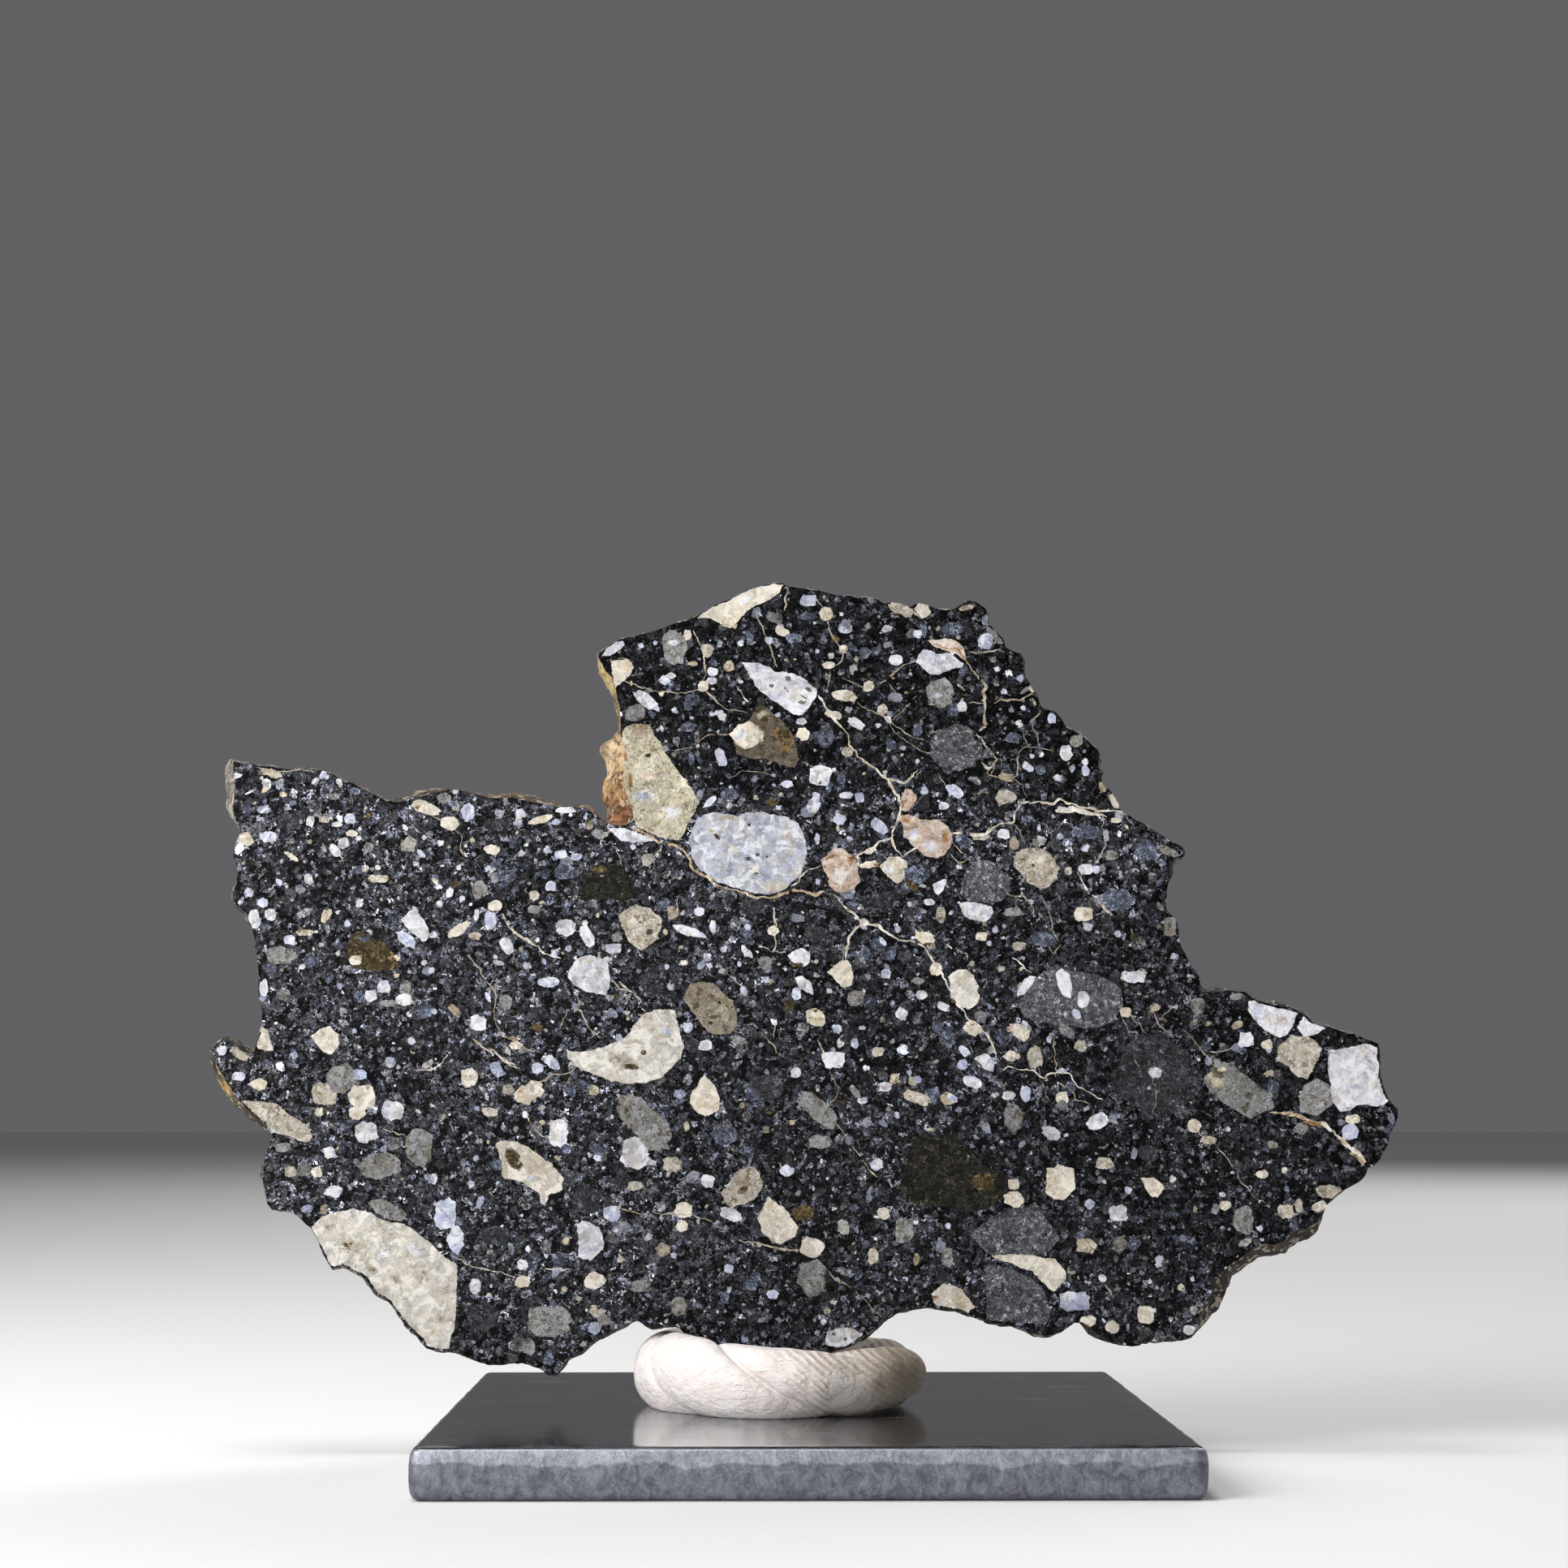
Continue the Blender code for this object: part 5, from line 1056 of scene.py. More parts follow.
def vein(width, flat, seed):
    """Short four-sided pieces along a path, whose width wavers; a few are left out where it is broken."""
    path = resample(np.array(flat, float).reshape(-1, 2), VEIN_STEP, False)
    path = path + 0.09 * shifts(path, 0.75, seed) + 0.085 * shifts(path, 0.27, seed)
    ends = np.minimum(np.arange(len(path)), np.arange(len(path))[::-1])
    waver = 0.72 + 0.5 * sway(path, 0.7, seed + 2) + 0.35 * sway(path, 0.25, seed + 3)
    waver = np.clip(waver, 0.28, None) * np.clip((ends + 0.8) / 3, 0, 1)
    half = left_of(np.gradient(path, axis=0)) * (0.38 * width + 0.012) * waver[:, None]
    left, right = path + half, path - half
    pieces = np.stack([right[:-1], right[1:], left[1:], left[:-1]], 1)
    first, second = pieces[:, 1] - pieces[:, 0], pieces[:, 2] - pieces[:, 0]
    third = pieces[:, 3] - pieces[:, 0]
    sound = (first[:, 0] * second[:, 1] - first[:, 1] * second[:, 0] > 1e-6)
    sound &= second[:, 0] * third[:, 1] - second[:, 1] * third[:, 0] > 1e-6
    whole = (sway(path[:-1], 0.9, seed + 3) > -0.62) | (width > UNBROKEN_WIDTH)
    return list(pieces[sound & whole])


def inside(points, outline):
    """Whether each point is inside an outline: an odd number of its sides lie to the right."""
    after = np.roll(outline, -1, axis=0)
    level = points[:, 1:2]
    crosses = (outline[:, 1] <= level) != (after[:, 1] <= level)
    rise = np.where(after[:, 1] == outline[:, 1], 1e-9, after[:, 1] - outline[:, 1])
    at = outline[:, 0] + (level - outline[:, 1]) / rise * (after[:, 0] - outline[:, 0])
    return np.sum(crosses & (at > points[:, :1]), axis=1) % 2 == 1


def heart_points(stone, kind):
    """Points a little way inside a shape's border, where it has its full colour: each corner moved
    inwards, or the middle of a small shape. A mark on a stone fades over the outer three fifths of its
    width, a crisp one over the outer quarter."""
    middle = stone.mean(0)
    reach = np.hypot(*(stone - middle).T)
    if reach.max() < 0.42:
        return middle[None]
    if kind in MARKED:
        return middle + (stone[::2] - middle) * (0.4 if kind == MARK else 0.75)
    inward = left_of(np.roll(stone, -1, axis=0) - np.roll(stone, 1, axis=0))
    moved = stone + inward * min(0.15, 0.3 * reach.min())
    return moved[inside(moved, stone)]


def loose_grains(outline, taken, spacing, random):
    """Small grains on a shaken lattice, where no larger stone is; each is an uneven oval."""
    low, high = outline.min(0), outline.max(0)
    sides = (np.arange(start, stop, spacing) for start, stop in zip(low, high))
    lattice = np.stack(np.meshgrid(*sides), -1).reshape(-1, 2)
    lattice = lattice + random.uniform(-0.55, 0.55, lattice.shape) * spacing
    lattice = lattice[random.random(len(lattice)) > 0.12]
    lattice = lattice[inside(lattice, outline)]
    for stone in taken:
        near = np.all((lattice > stone.min(0)) & (lattice < stone.max(0)), axis=1)
        near[near] = inside(lattice[near], stone)
        lattice = lattice[~near]
    size = spacing * np.clip(random.lognormal(-0.62, 0.52, len(lattice)), 0.22, 1.7)
    flat = random.uniform(0.45, 1.0, len(lattice))
    tilt = random.uniform(0, 180, len(lattice))
    return [
        pebble((*at, wide, wide * share, turn), random, corners=5 + (wide > 0.35) + (wide > 0.6))
        for at, wide, share, turn in zip(lattice, size, flat, tilt)
    ]


def ground_tone(points):
    """The fine ground between the grains: paler on the left, nearly black on the right and in the
    upper lobe. The fall from left to right is partly the ground's own tone and partly painted light falling
    off away from the lamp on the left."""
    x, z = points.T
    # Darker towards the right: partly the ground's own tone, partly painted light falling off away from the
    # lamp on the left.
    light = 47 - 0.3 * x
    light = np.where(z > 47, 34 - 0.1 * x, light)
    light = light + 22 * np.exp(-(((x - 21) / 6) ** 2) - ((z - 43.3) / 2.6) ** 2)
    light = light + 10 * sway(points, 7.0, 41) + 7 * sway(points, 2.4, 42)
    light = np.clip(light, 14, 80)[:, None] * [1.0, 0.99, 1.045]
    return np.concatenate([linear(light), np.zeros((len(points), 1))], -1)


def cut_face(outline, groups, spacing, seed):
    """One sawn face as a mosaic: the outline, the loose grains and the stones are all joined into
    triangles that meet at their borders, and each triangle takes the tone of the topmost stone that it
    is in. Gives its points, its triangles, and for each corner two colours: the stone's own, with how
    clear a clast it is, and the ground's, with the depth inside the stone, 0 on its border."""
    random = np.random.default_rng(seed)
    shapes, tones, kinds = [outline], [(0, 0, 0, 0)], [GROUND]
    grains = loose_grains(outline, [stone for kind, _, stone in groups if kind == STONE], spacing, random)
    share = np.array([count for _, count in GRAIN_TONES], float)
    for grain in grains:
        colour, _ = GRAIN_TONES[random.choice(len(share), p=share / share.sum())]
        # The grains darken towards the right: painted light falling off away from the lamp on the left.
        level = random.uniform(0.85, 1.22) * (1 - 0.0035 * grain[:, 0].mean())
        shapes.append(grain)
        tones.append((*linear(np.array(colour) * level), 0.45 + 0.4 * (colour[0] > 125)))
        kinds.append(GRAIN)
    for kind, tone, stone in groups:
        *colour, clast = STONE_TONES[tone]
        shapes.append(stone)
        tones.append((*linear(np.array(colour) * random.uniform(0.86, 1.0)), clast))
        kinds.append(kind)
    shapes = [anticlockwise(np.asarray(shape)) for shape in shapes]
    starts = np.cumsum([0] + [len(shape) for shape in shapes])
    numbers = [list(range(start, stop)) for start, stop in zip(starts[:-1], starts[1:])]
    hearts = [
        heart_points(shape, kind)
        for shape, kind in zip(shapes, kinds)
        if kind != GROUND and kind not in VEINED
    ]
    corners = [Vector(point) for point in np.vstack(shapes + hearts)]
    joined = delaunay_2d_cdt(corners, [], numbers, 1, 1e-4, True)
    points = np.array([tuple(point) for point in joined[0]])
    shape_of = np.repeat(np.arange(len(shapes)), np.diff(starts))
    shape_of = np.concatenate([shape_of, np.full(len(corners) - len(shape_of), -1)])
    border_of = [frozenset(shape_of[number] for number in ids) for ids in joined[3]]
    kept = [(face, sorted(owners)[-2:]) for face, owners in zip(joined[2], joined[5]) if 0 in owners]
    triangles = np.array([face for face, _ in kept])
    owner = np.array([owners[-1] for _, owners in kept])
    below = np.array([owners[0] for _, owners in kept])
    on_border = np.array([
        [not border_of[corner] or owners[-1] in border_of[corner] for corner in face]
        for face, owners in kept
    ])
    used, triangles = np.unique(triangles, return_inverse=True)
    points, triangles = points[used], triangles.reshape(-1, 3)
    tones, kind_of = np.array(tones), np.array(kinds)[owner]
    in_vein = np.isin(kind_of, VEINED)
    own = tones[owner][:, None, :].repeat(3, axis=1)
    mottle = 1 + 0.13 * sway(points, 0.55, seed + 50) + 0.08 * sway(points, 1.6, seed + 51)
    own[..., :3] *= mottle[triangles][..., None]
    streak = 1 + 0.3 * sway(points, 0.35, seed + 52)[triangles][..., None] * [0.8, 1.0, 1.4]
    own[..., :3] *= np.where(in_vein[:, None, None], streak, 1.0)
    over_stone = (below > 0) & (owner > 0)
    softness = np.select([in_vein, kind_of == MARK], [VEIN_BLEND, MARK_BLEND], STONE_BLEND)
    blend = softness[:, None] * on_border * over_stone[:, None]
    under = tones[below][:, None, :]
    own = own * (1 - blend[..., None]) + under * blend[..., None]
    own[owner == 0] = 0
    depth = np.where(kind_of[:, None] == THIN_VEIN, 0.5, 1.0 - on_border)
    depth = np.where(kind_of[:, None] == THICK_VEIN, 0.85, depth)
    depth = np.where(over_stone[:, None], 1.0, depth)
    ground = ground_tone(points)[triangles]
    ground[..., 3] = depth
    return points, triangles, own, ground


def placed_stones(seed):
    """The stones, the veins and the marks on the stones, lowest first, each with its kind and tone."""
    random = np.random.default_rng(seed)
    groups = [(STONE, tone, shaped(flat, 60 + number)) for number, (tone, flat) in enumerate(SHAPED_STONES)]
    groups += [(STONE, tone, pebble(row, random)) for tone, rows in STONES.items() for row in rows]
    for number, (tone, width, flat) in enumerate(VEINS):
        kind = THICK_VEIN if width > THICK_WIDTH else THIN_VEIN
        groups += [(kind, tone, piece) for piece in vein(width, flat, 200 + 4 * number)]
    for tone, rows in MARKS.items():
        for row in rows:
            mark = pebble(row, random)
            if tone in CRISP_TONES:
                groups.append((CRISP_MARK, tone, mark.mean(0) + CRISP_SWELL * (mark - mark.mean(0))))
            else:
                groups.append((MARK, tone, mark))
    return groups


def far_stones(seed):
    """The back face: the larger stones go right through the slice, a little moved and changed in size."""
    random = np.random.default_rng(seed)
    groups = []
    for number, (tone, flat) in enumerate(SHAPED_STONES):
        outline = shaped(flat, 500 + number)
        middle = outline.mean(0)
        outline = middle + (outline - middle) * random.uniform(0.75, 1.12) + random.uniform(-0.5, 0.5, 2)
        groups.append((STONE, tone, outline))
    for tone, rows in STONES.items():
        for row in rows:
            if row[2] > 0.85 and random.random() > 0.25:
                moved = np.array(row[:2]) + random.uniform(-0.7, 0.7, 2)
                groups.append((STONE, tone, pebble((*moved, *row[2:]), random)))
    for number, (tone, width, flat) in enumerate(VEINS[::2]):
        moved = np.array(flat, float) + 0.35 * (number % 5 - 2)
        groups += [(THIN_VEIN, tone, piece) for piece in vein(width, moved, 900 + 4 * number)]
    return groups


def rim_rows(columns=980, levels=10):
    """The broken rim: the rows of the slice's edge, evened out to the same columns and eased across the
    thickness, with small breaks that fade out at the two cut faces."""
    outlines = []
    start = edge_rows[0][0, [0, 2]]
    for row in edge_rows:
        outline = anticlockwise(row[:, [0, 2]] / MM)
        first = np.argmin(np.hypot(*(outline - start / MM).T))
        outlines.append(np.roll(outline, -first, axis=0))
    count = len(outlines[0])
    fine = np.arange(columns) * count / columns
    before, share = np.floor(fine).astype(int), (fine % 1)[:, None]
    even = np.stack([row[before] * (1 - share) + row[(before + 1) % count] * share for row in outlines])
    depth_of = np.array([row[:, 1].mean() for row in edge_rows]) / MM
    depth = np.linspace(depth_of[0], depth_of[-1], levels)
    step = np.clip(np.searchsorted(depth_of, depth) - 1, 0, len(depth_of) - 2)
    ease = ((depth - depth_of[step]) / (depth_of[step + 1] - depth_of[step]))[:, None, None]
    rows = even[step] * (1 - ease) + even[step + 1] * ease
    outward = -left_of(np.roll(rows, -1, axis=1) - np.roll(rows, 1, axis=1))
    depths = np.broadcast_to(depth[:, None, None], (levels, columns, 1))
    where = np.concatenate([rows, depths], -1)
    breaks = 0.13 * drift(where, 0.9, 71) + 0.09 * drift(where, 0.38, 72) + 0.03 * drift(where, 0.17, 73)
    edge_breaks = 0.05 * drift(where, 0.5, 74) + 0.025 * drift(where, 0.24, 75)
    middle = np.sin(np.linspace(0, math.pi, levels))[:, None] ** 0.6
    rows = rows + outward * (middle * (breaks - 0.06) + edge_breaks)[..., None]
    return np.concatenate([rows[..., :1], depths, rows[..., 1:]], -1)


def zip_up(chain_at, chain_numbers, row_at, row_numbers):
    """Triangles between two closed chains whose points have places along the same edge: the places are
    taken in order, and each makes a triangle with the point before it on its own chain."""
    order_chain, order_row = np.argsort(chain_at), np.argsort(row_at)
    chain_at, chain_numbers = chain_at[order_chain], chain_numbers[order_chain]
    row_at, row_numbers = row_at[order_row], row_numbers[order_row]
    facing = np.searchsorted(row_at, chain_at, side="left") - 1
    first = np.stack([np.roll(chain_numbers, 1), chain_numbers, row_numbers[facing]], -1)
    facing = np.searchsorted(chain_at, row_at, side="right") - 1
    second = np.stack([row_numbers, np.roll(row_numbers, 1), chain_numbers[facing]], -1)
    return np.vstack([first, second])


def along_edge(points, outline):
    """Each point's place along a closed outline, in numbers of its sides."""
    side = np.roll(outline, -1, axis=0) - outline
    reach = points[:, None, :] - outline
    share = np.clip(np.sum(reach * side, -1) / np.sum(side * side, -1), 0, 1)
    gap = np.hypot(*np.moveaxis(reach - share[..., None] * side, -1, 0))
    nearest = np.argmin(gap, axis=1)
    return np.mod(np.round(nearest + share[np.arange(len(points)), nearest], 6), len(outline))


def edge_points(triangles):
    """The numbers of the points on the border: the ends of the edges that only one triangle has."""
    edges = np.sort(triangles[:, [0, 1, 1, 2, 2, 0]].reshape(-1, 2), axis=1)
    edges, uses = np.unique(edges, axis=0, return_counts=True)
    return np.unique(edges[uses == 1])


# Patches of colour on the rim: the middle and the reach in mm, the colour and its strength. The near-black
# patches low on the right, at 35 and at 24 mm across, are partly the rim's own dark colour and partly painted
# shade on the rim's underside.
RIM_PATCHES = (
    ((-34, 49), (8, 2), (150, 150, 152), 0.7), ((-22, 48), (8, 2.5), (120, 92, 62), 0.8),
    ((-13.6, 48), (1.9, 3.8), (226, 168, 104), 1.0), ((-14, 49.6), (1.5, 2), (244, 222, 178), 0.95),
    ((-13.1, 45), (1, 1.1), (140, 74, 40), 0.85),
    ((-14.1, 55.2), (1.4, 1.8), (232, 204, 140), 1.0), ((-40.8, 25.6), (1.4, 1.2), (210, 176, 104), 0.9),
    ((-38, 22), (6, 4), (64, 50, 38), 0.8), ((35, 19), (10, 6), (44, 33, 23), 0.95),
    ((-41, 45), (1.2, 4), (206, 200, 190), 0.7), ((0, 61), (12, 1.5), (96, 92, 90), 0.6),
    ((24, 11), (12, 5), (44, 38, 32), 0.9), ((-24, 10), (12, 4), (108, 104, 100), 0.6),
)


def rim_tone(points):
    """The broken rim's colours: dark brown-grey, with ochre crust left of the upper lobe and pale stretches
    on the left lobe's top; near black low on the right, partly its own dark colour and partly painted shade."""
    x, y, z = points.T
    tone = np.tile(linear((82, 76, 70)), (len(points), 1))
    patch = drift(points, 3.0, 81)[:, None]
    fine = drift(points, 0.8, 82)[:, None]
    tone = tone * (1 + 0.45 * patch + 0.35 * fine)

    for middle, reach, colour, strength in RIM_PATCHES:
        away = ((x - middle[0]) / reach[0]) ** 2 + ((z - middle[1]) / reach[1]) ** 2
        share = (strength * np.exp(-away))[:, None] * np.clip(0.75 + 0.6 * fine, 0, 1)
        tone = tone * (1 - share) + linear(colour) * share
    return np.concatenate([np.clip(tone, 0.004, 0.85), np.full((len(points), 1), 0.5)], -1)


def slice_surface():
    """The two mosaics and the rim sewn into one closed surface, with a colour for each corner and the
    number of its material for each face."""
    rim = rim_rows()
    low, high = (np.array(corner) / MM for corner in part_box("meteorite_slice"))
    rim = rim.clip(low, high)
    levels, columns = rim.shape[:2]
    front_outline, back_outline = rim[0][:, [0, 2]], rim[-1][:, [0, 2]]
    mosaic = cut_face(front_outline, placed_stones(5), GRAIN_SPACING, 6)
    front_flat, front_faces, front_own, front_ground = mosaic
    mosaic = cut_face(back_outline, far_stones(7), FAR_SPACING, 8)
    back_flat, back_faces, back_own, back_ground = mosaic
    front = np.insert(front_flat, 1, -SLICE_HALF / MM, axis=1)
    back = np.insert(back_flat, 1, SLICE_HALF / MM, axis=1)
    middle = rim[1:-1].reshape(-1, 3)
    offset_back, offset_rim = len(front), len(front) + len(back)
    front_chain, back_chain = edge_points(front_faces), edge_points(back_faces)
    place_row = np.arange(columns, dtype=float)
    first_row = offset_rim + np.arange(columns)
    last_row = first_row + (levels - 3) * columns
    front_place = along_edge(front_flat[front_chain], front_outline)
    back_place = along_edge(back_flat[back_chain], back_outline)
    sewn_front = zip_up(front_place, front_chain, place_row, first_row)
    sewn_back = zip_up(back_place, offset_back + back_chain, place_row, last_row)
    quads = grid_faces(levels - 2, columns) + offset_rim
    rim_faces = np.vstack([quads[:, [0, 1, 2]], quads[:, [0, 2, 3]]])
    rim_faces = np.vstack([sewn_front[:, ::-1], rim_faces[:, ::-1], sewn_back])
    points = np.vstack([front, back, middle])
    faces = np.vstack([front_faces, back_faces[:, ::-1] + offset_back, rim_faces])
    rim_colours = rim_tone(points)[rim_faces]
    own = np.concatenate([front_own, back_own[:, ::-1], rim_colours])
    ground = np.concatenate([front_ground, back_ground[:, ::-1], rim_colours])
    kinds = (np.arange(len(faces)) >= len(front_faces) + len(back_faces)).astype(int)
    return points * MM, faces, own, ground, kinds


# The shades of the grains in the material: from which share of them on, and how many times as bright.
GROUND_COARSE = (
    (0.0, 0.08), (0.2, 0.32), (0.4, 0.7), (0.57, 1.25), (0.72, (1.7, 1.8, 2.1)), (0.83, 3.0),
    (0.91, (5.0, 5.3, 6.0)), (0.965, 9.5),
)
GROUND_FINE = ((0.0, 0.16), (0.25, 0.55), (0.5, 1.0), (0.72, 1.6), (0.87, (2.2, 2.3, 2.55)), (0.95, 4.6))
GROUND_DUST = ((0.0, 0.5), (0.4, 1.0), (0.75, 1.5))
CRYSTALS = ((0.0, 0.76), (0.3, 0.92), (0.6, 1.04), (0.85, 1.12))
STONE_FINE = ((0.0, 0.4), (0.1, 0.7), (0.28, 0.92), (0.55, 1.04), (0.82, 1.22))
STONE_COARSE = (
    (0.0, (0.4, 0.34, 0.27)), (0.09, (0.78, 0.74, 0.66)), (0.3, 1.0), (0.68, (1.1, 1.13, 1.2)),
    (0.9, (1.28, 1.3, 1.36)),
)
DARK_FINE = ((0.0, 0.4), (0.3, 0.8), (0.6, 1.25), (0.84, 2.2), (0.95, 4.0))
DARK_DUST = ((0.0, 0.6), (0.4, 1.0), (0.8, 1.4))
DARK_COARSE = ((0.0, 0.4), (0.25, 0.8), (0.6, 1.2), (0.86, 2.3))


def polished_breccia():
    """The sawn faces: the ground is broken into fine dark grains; the stones are mottled, cracked and
    pitted, and fine ground bites into their borders."""
    stone = new_material("polished_breccia", Specular_IOR_Level=0.06)
    tone = wire(stone, "ShaderNodeAttribute", {}, attribute_name="tone")
    bed = wire(stone, "ShaderNodeAttribute", {}, attribute_name="ground")
    colour, clast = tone.outputs["Color"], tone.outputs["Alpha"]
    sockets = {"Vector": place(stone), "Scale": 3.5, "Detail": 2.0}
    swirl = wire(stone, "ShaderNodeTexNoise", sockets).outputs["Color"]
    warp = wire(stone, "ShaderNodeVectorMath", {0: place(stone), 1: swirl}, operation="ADD").outputs[0]
    coarse = cells(stone, 0.34, vector=warp)
    fine = cells(stone, 0.16, vector=warp)
    crystal = cells(stone, 0.42, vector=warp)
    dust = cells(stone, 0.08)

    def pick(grains, channel):
        return wire(stone, "ShaderNodeSeparateColor", {0: grains}).outputs[channel]

    def speckle(amount, under, grains, channel, shades):
        node = wire(stone, "ShaderNodeValToRGB", {"Fac": pick(grains, channel)})
        ramp = node.color_ramp
        ramp.interpolation = "CONSTANT"
        for number, (start, shade) in enumerate(shades):
            spot = ramp.elements[number] if number < 2 else ramp.elements.new(start)
            spot.position = start
            spot.color = (*shade, 1.0) if isinstance(shade, tuple) else (shade, shade, shade, 1.0)
        return stain(stone, amount, under, node.outputs["Color"])

    ground = speckle(1.0, bed.outputs["Color"], coarse, 0, GROUND_COARSE)
    ground = speckle(0.9, ground, fine, 1, GROUND_FINE)
    ground = speckle(0.7, ground, dust, 2, GROUND_DUST)

    mottle = clouds(stone, 0.7, 5.0, 0.65)
    flaws = clouds(stone, 0.22, 3.0, 0.6, bend=1.5)
    nibble = clouds(stone, 0.2, 3.0, 0.7)
    bright = steps(stone, clouds(stone, 0.9, 5.0, 0.65, bend=0.8), 0.5, 0.6, 0.75)
    yellowed = steps(stone, clouds(stone, 1.1, 4.0, 0.6), 0.53, 0.68, 0.6)
    milky = speckle(1.0, colour, crystal, 1, CRYSTALS)
    milky = stain(stone, steps(stone, mottle, 0.48, 0.62, 0.8), milky, (0.64, 0.69, 0.82))
    milky = paint(stone, bright, milky, linear((238, 239, 243)))
    milky = stain(stone, yellowed, milky, (0.84, 0.74, 0.58))

    coarse_grained = steps(stone, clast, 0.94, 0.82)
    fine_share = reckon(stone, "MULTIPLY_ADD", coarse_grained, 0.75, 0.25)
    coarse_share = reckon(stone, "MULTIPLY_ADD", coarse_grained, 0.7, 0.15)
    cloudy = steps(stone, clouds(stone, 1.5, 4.0, 0.6), 0.5, 0.66, 0.8)
    grainy = stain(stone, cloudy, speckle(0.7, colour, crystal, 1, CRYSTALS), (0.85, 0.77, 0.63))
    grainy = speckle(fine_share, grainy, fine, 0, STONE_FINE)
    grainy = speckle(coarse_share, grainy, coarse, 1, STONE_COARSE)
    grainy = stain(stone, steps(stone, mottle, 0.52, 0.7, 0.5), grainy, (0.64, 0.58, 0.5))
    bloom = times(stone, bright, reckon(stone, "SUBTRACT", 1.0, coarse_grained))
    grainy = paint(stone, bloom, grainy, linear((242, 236, 224)))

    crack = cells(stone, 0.75, "Distance", feature="DISTANCE_TO_EDGE", vector=warp)
    split = steps(stone, clouds(stone, 1.9, 2.0), 0.5, 0.62)
    cracked = times(stone, steps(stone, crack, 0.05, 0.02), split)
    pit = steps(stone, flaws, 0.37, 0.3)
    body = paint(stone, steps(stone, clast, 0.94, 0.99), grainy, milky)
    body = stain(stone, times(stone, cracked, 0.6), body, (0.32, 0.29, 0.25))
    body = stain(stone, times(stone, pit, 0.7), body, (0.35, 0.32, 0.28))

    dark_body = speckle(0.75, colour, fine, 0, DARK_FINE)
    dark_body = speckle(0.7, dark_body, dust, 1, DARK_DUST)
    dark_body = speckle(0.75, dark_body, coarse, 2, DARK_COARSE)
    body = paint(stone, steps(stone, clast, 0.6, 0.75), dark_body, body)
    reach = reckon(stone, "MULTIPLY_ADD", reckon(stone, "SUBTRACT", nibble, 0.5), 1.5, bed.outputs["Alpha"])
    held = times(stone, steps(stone, reach, 0.14, 0.42), steps(stone, clast, 0.1, 0.3))
    whole = paint(stone, held, ground, body)
    rough = reckon(stone, "MULTIPLY_ADD", pick(fine, 2), 0.16, 0.26)
    normal = relief(stone, [(0.012, mottle), (0.02, flaws)])
    return finish_with(stone, Base_Color=whole, Roughness=rough, Normal=normal)


def broken_rim():
    """The rim, never cut: rough, dull stone with pale chips, dark hollows and grains of crust."""
    rim = new_material("broken_rim", Specular_IOR_Level=0.25)
    colour = wire(rim, "ShaderNodeAttribute", {}, attribute_name="tone").outputs["Color"]
    chips = clouds(rim, 0.55, 6.0, 0.7)
    sockets = {"Vector": place(rim), "Scale": 1.6, "Detail": 4.0}
    swirl = wire(rim, "ShaderNodeTexNoise", sockets).outputs["Color"]
    sockets = {0: swirl, 1: (1.2, 1.2, 1.2), 2: place(rim)}
    bent = wire(rim, "ShaderNodeVectorMath", sockets, operation="MULTIPLY_ADD").outputs[0]
    grains = cells(rim, 0.3, vector=bent)
    light = wire(rim, "ShaderNodeSeparateColor", {0: grains})
    whole = stain(rim, steps(rim, chips, 0.54, 0.34), colour, (0.3, 0.26, 0.25))
    glow = paint(rim, 0.55, whole, linear((240, 226, 200)))
    whole = paint(rim, times(rim, steps(rim, light.outputs[0], 0.78, 0.84), 0.75), whole, glow)
    whole = stain(rim, steps(rim, light.outputs[1], 0.34, 0.14, 0.8), whole, (0.32, 0.28, 0.26))
    rough = reckon(rim, "MULTIPLY_ADD", chips, 0.3, 0.5)
    normal = relief(rim, [(0.25, chips), (0.1, clouds(rim, 0.18, 4.0, 0.7))])
    return finish_with(rim, Base_Color=whole, Roughness=rough, Normal=normal)


slice_points, slice_faces, own_tone, ground_below, slice_kinds = slice_surface()
breccia = new_piece("breccia_slice", slice_points, slice_faces.tolist(), [polished_breccia(), broken_rim()])
breccia.data.polygons.foreach_set("material_index", slice_kinds)
breccia.data.polygons.foreach_set("use_smooth", slice_kinds == 1)
for layer, colours in (("tone", own_tone), ("ground", ground_below)):
    attribute = breccia.data.color_attributes.new(layer, "FLOAT_COLOR", "CORNER")
    attribute.data.foreach_set("color", colours.astype(np.float32).ravel())
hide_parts("meteorite_slice")

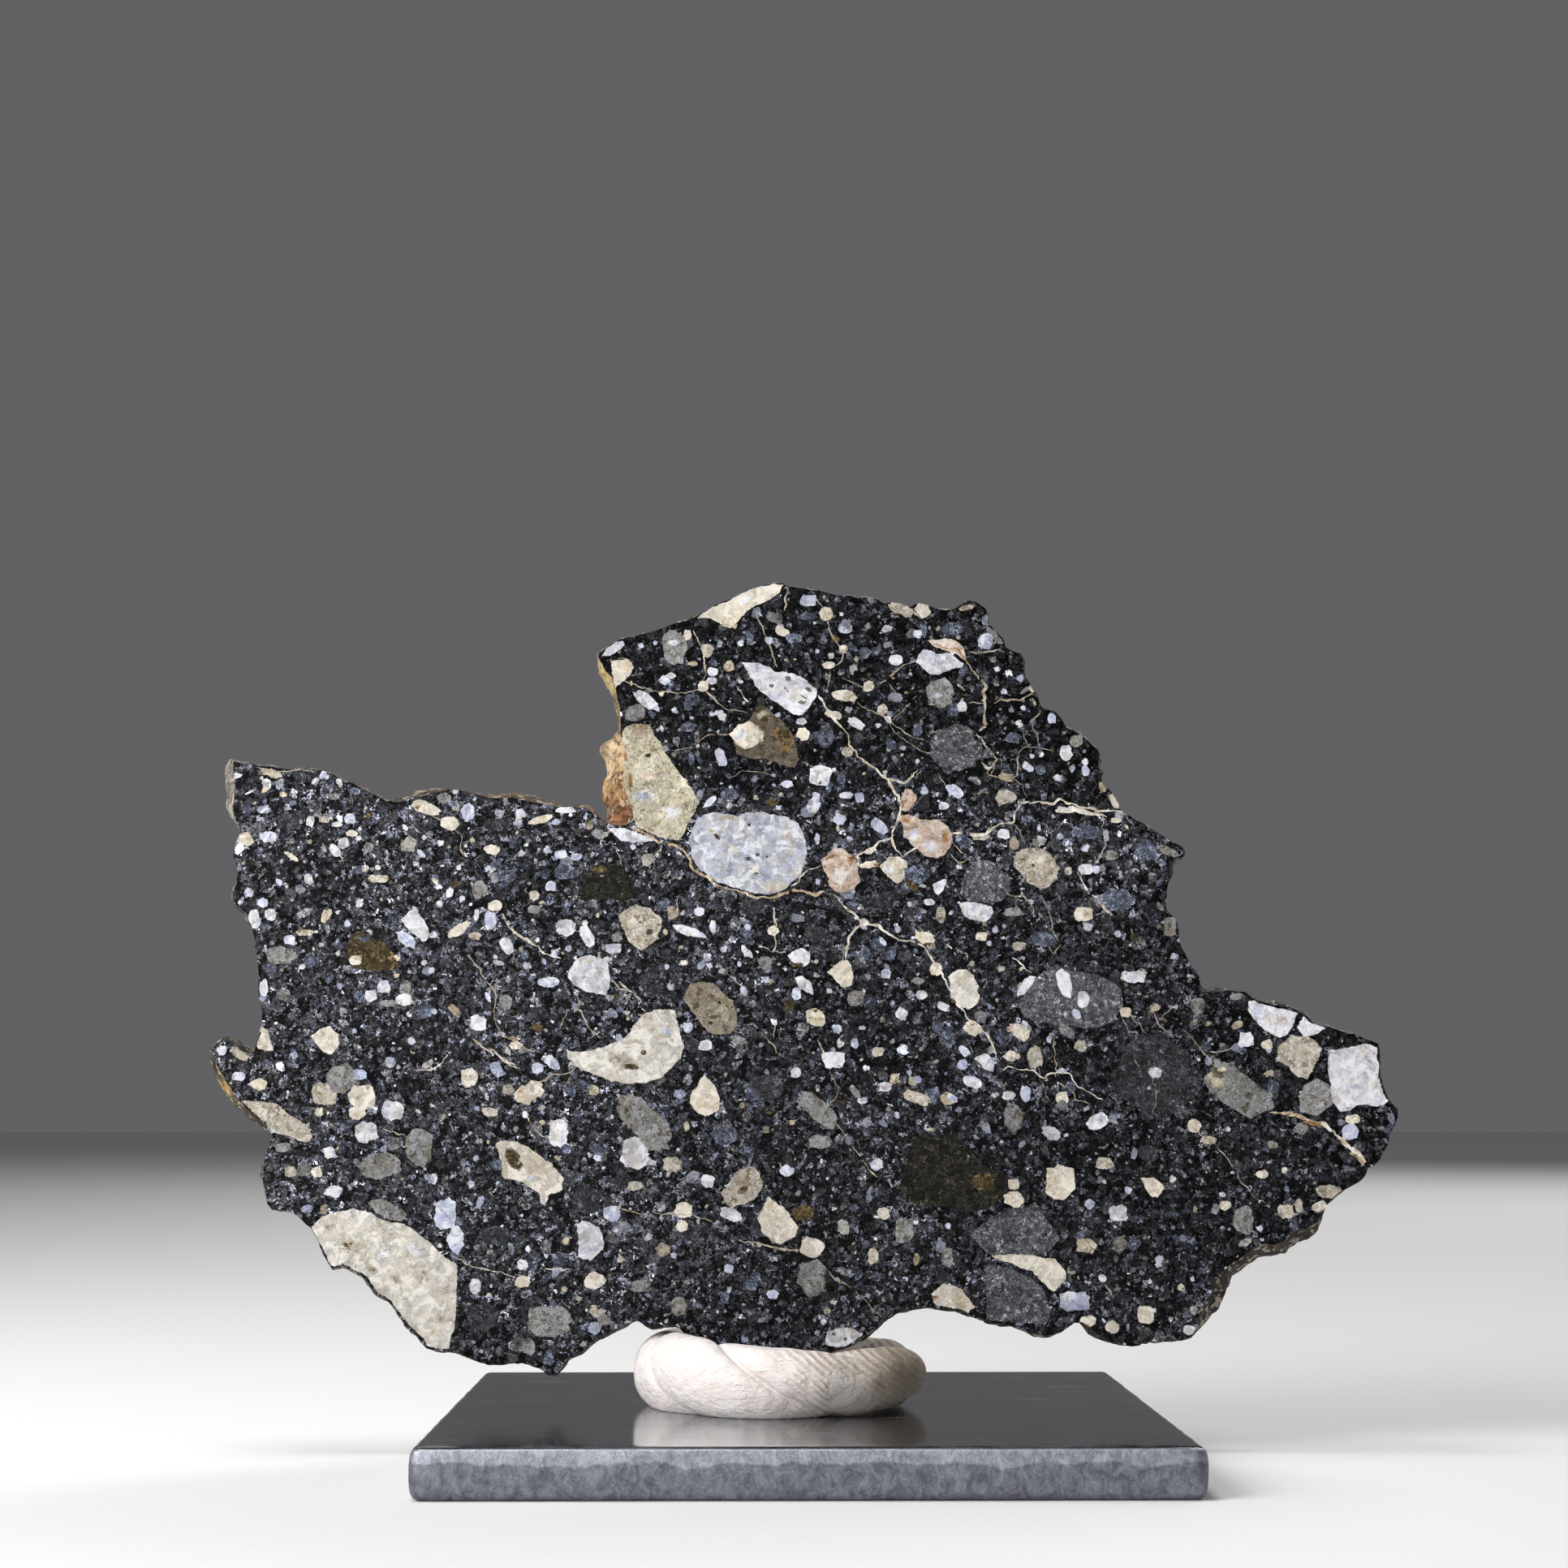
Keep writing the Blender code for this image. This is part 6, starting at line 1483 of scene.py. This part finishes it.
# Section: the floor, the lights and the camera. A plain pale floor under a dim grey sky. The main light is
# large and soft, above on the left. A low weak one stands at the front, a small one above, and one behind.
SKY = (0.12, 0.12, 0.125, 1.0)
CAMERA_AT = (-3.609 * MM, -204.156 * MM, 24.766 * MM)
CAMERA_RISE, CAMERA_TURN = 0.1110, -0.0114
LENS, SENSOR = 65.03, 36.0
# Where each square light is and what it is turned to, in metres, and its side and its watts.
LIGHTS = {
    "key_light": ((-0.25, -0.18, 0.2), (0, 0, 0.03), 0.2, 1.15),
    "fill_light": ((-0.15, -0.45, 0.06), (0, 0, 0.02), 0.3, 0.5),
    "top_light": ((-0.07, -0.02, 0.34), (-0.01, 0, 0.03), 0.1, 0.45),
    "back_light": ((0.3, 0.5, 0.5), (0, 0, 0.03), 0.4, 2.2),
}

floor_mesh = bpy.data.meshes.new("studio_floor")
floor_mesh.from_pydata([(-2, -2, 0), (2, -2, 0), (2, 2, 0), (-2, 2, 0)], [], [(0, 1, 2, 3)])
floor = bpy.data.objects.new("studio_floor", floor_mesh)
bpy.context.scene.collection.objects.link(floor)
paper = new_material("pale_paper", Specular_IOR_Level=0.1, Roughness=0.9)
weave = clouds(paper, 0.8, 3.0, 0.6)
finish_with(paper, Base_Color=paint(paper, weave, linear((232, 231, 230)), linear((237, 236, 235))))
floor_mesh.materials.append(paper)

sky = bpy.data.worlds.new("studio_sky")
bpy.context.scene.world = sky
sky.use_nodes = True
sky.node_tree.nodes["Background"].inputs["Color"].default_value = SKY
sky.node_tree.nodes["Background"].inputs["Strength"].default_value = 1.0

for name, (spot, aim, side, watts) in LIGHTS.items():
    light = bpy.data.lights.new(name, "AREA")
    light.size, light.energy = side, watts
    lamp = bpy.data.objects.new(name, light)
    lamp.location = spot
    lamp.rotation_euler = (Vector(aim) - Vector(spot)).to_track_quat("-Z", "Y").to_euler()
    bpy.context.scene.collection.objects.link(lamp)

camera_data = bpy.data.cameras.new("camera")
camera_data.lens, camera_data.sensor_width = LENS, SENSOR
camera_data.clip_start = 0.01
camera = bpy.data.objects.new("camera", camera_data)
camera.location = CAMERA_AT
camera.rotation_euler = (math.pi / 2 + CAMERA_RISE, 0.0, CAMERA_TURN)
bpy.context.scene.collection.objects.link(camera)
bpy.context.scene.camera = camera
bpy.context.scene.view_settings.view_transform = "Standard"
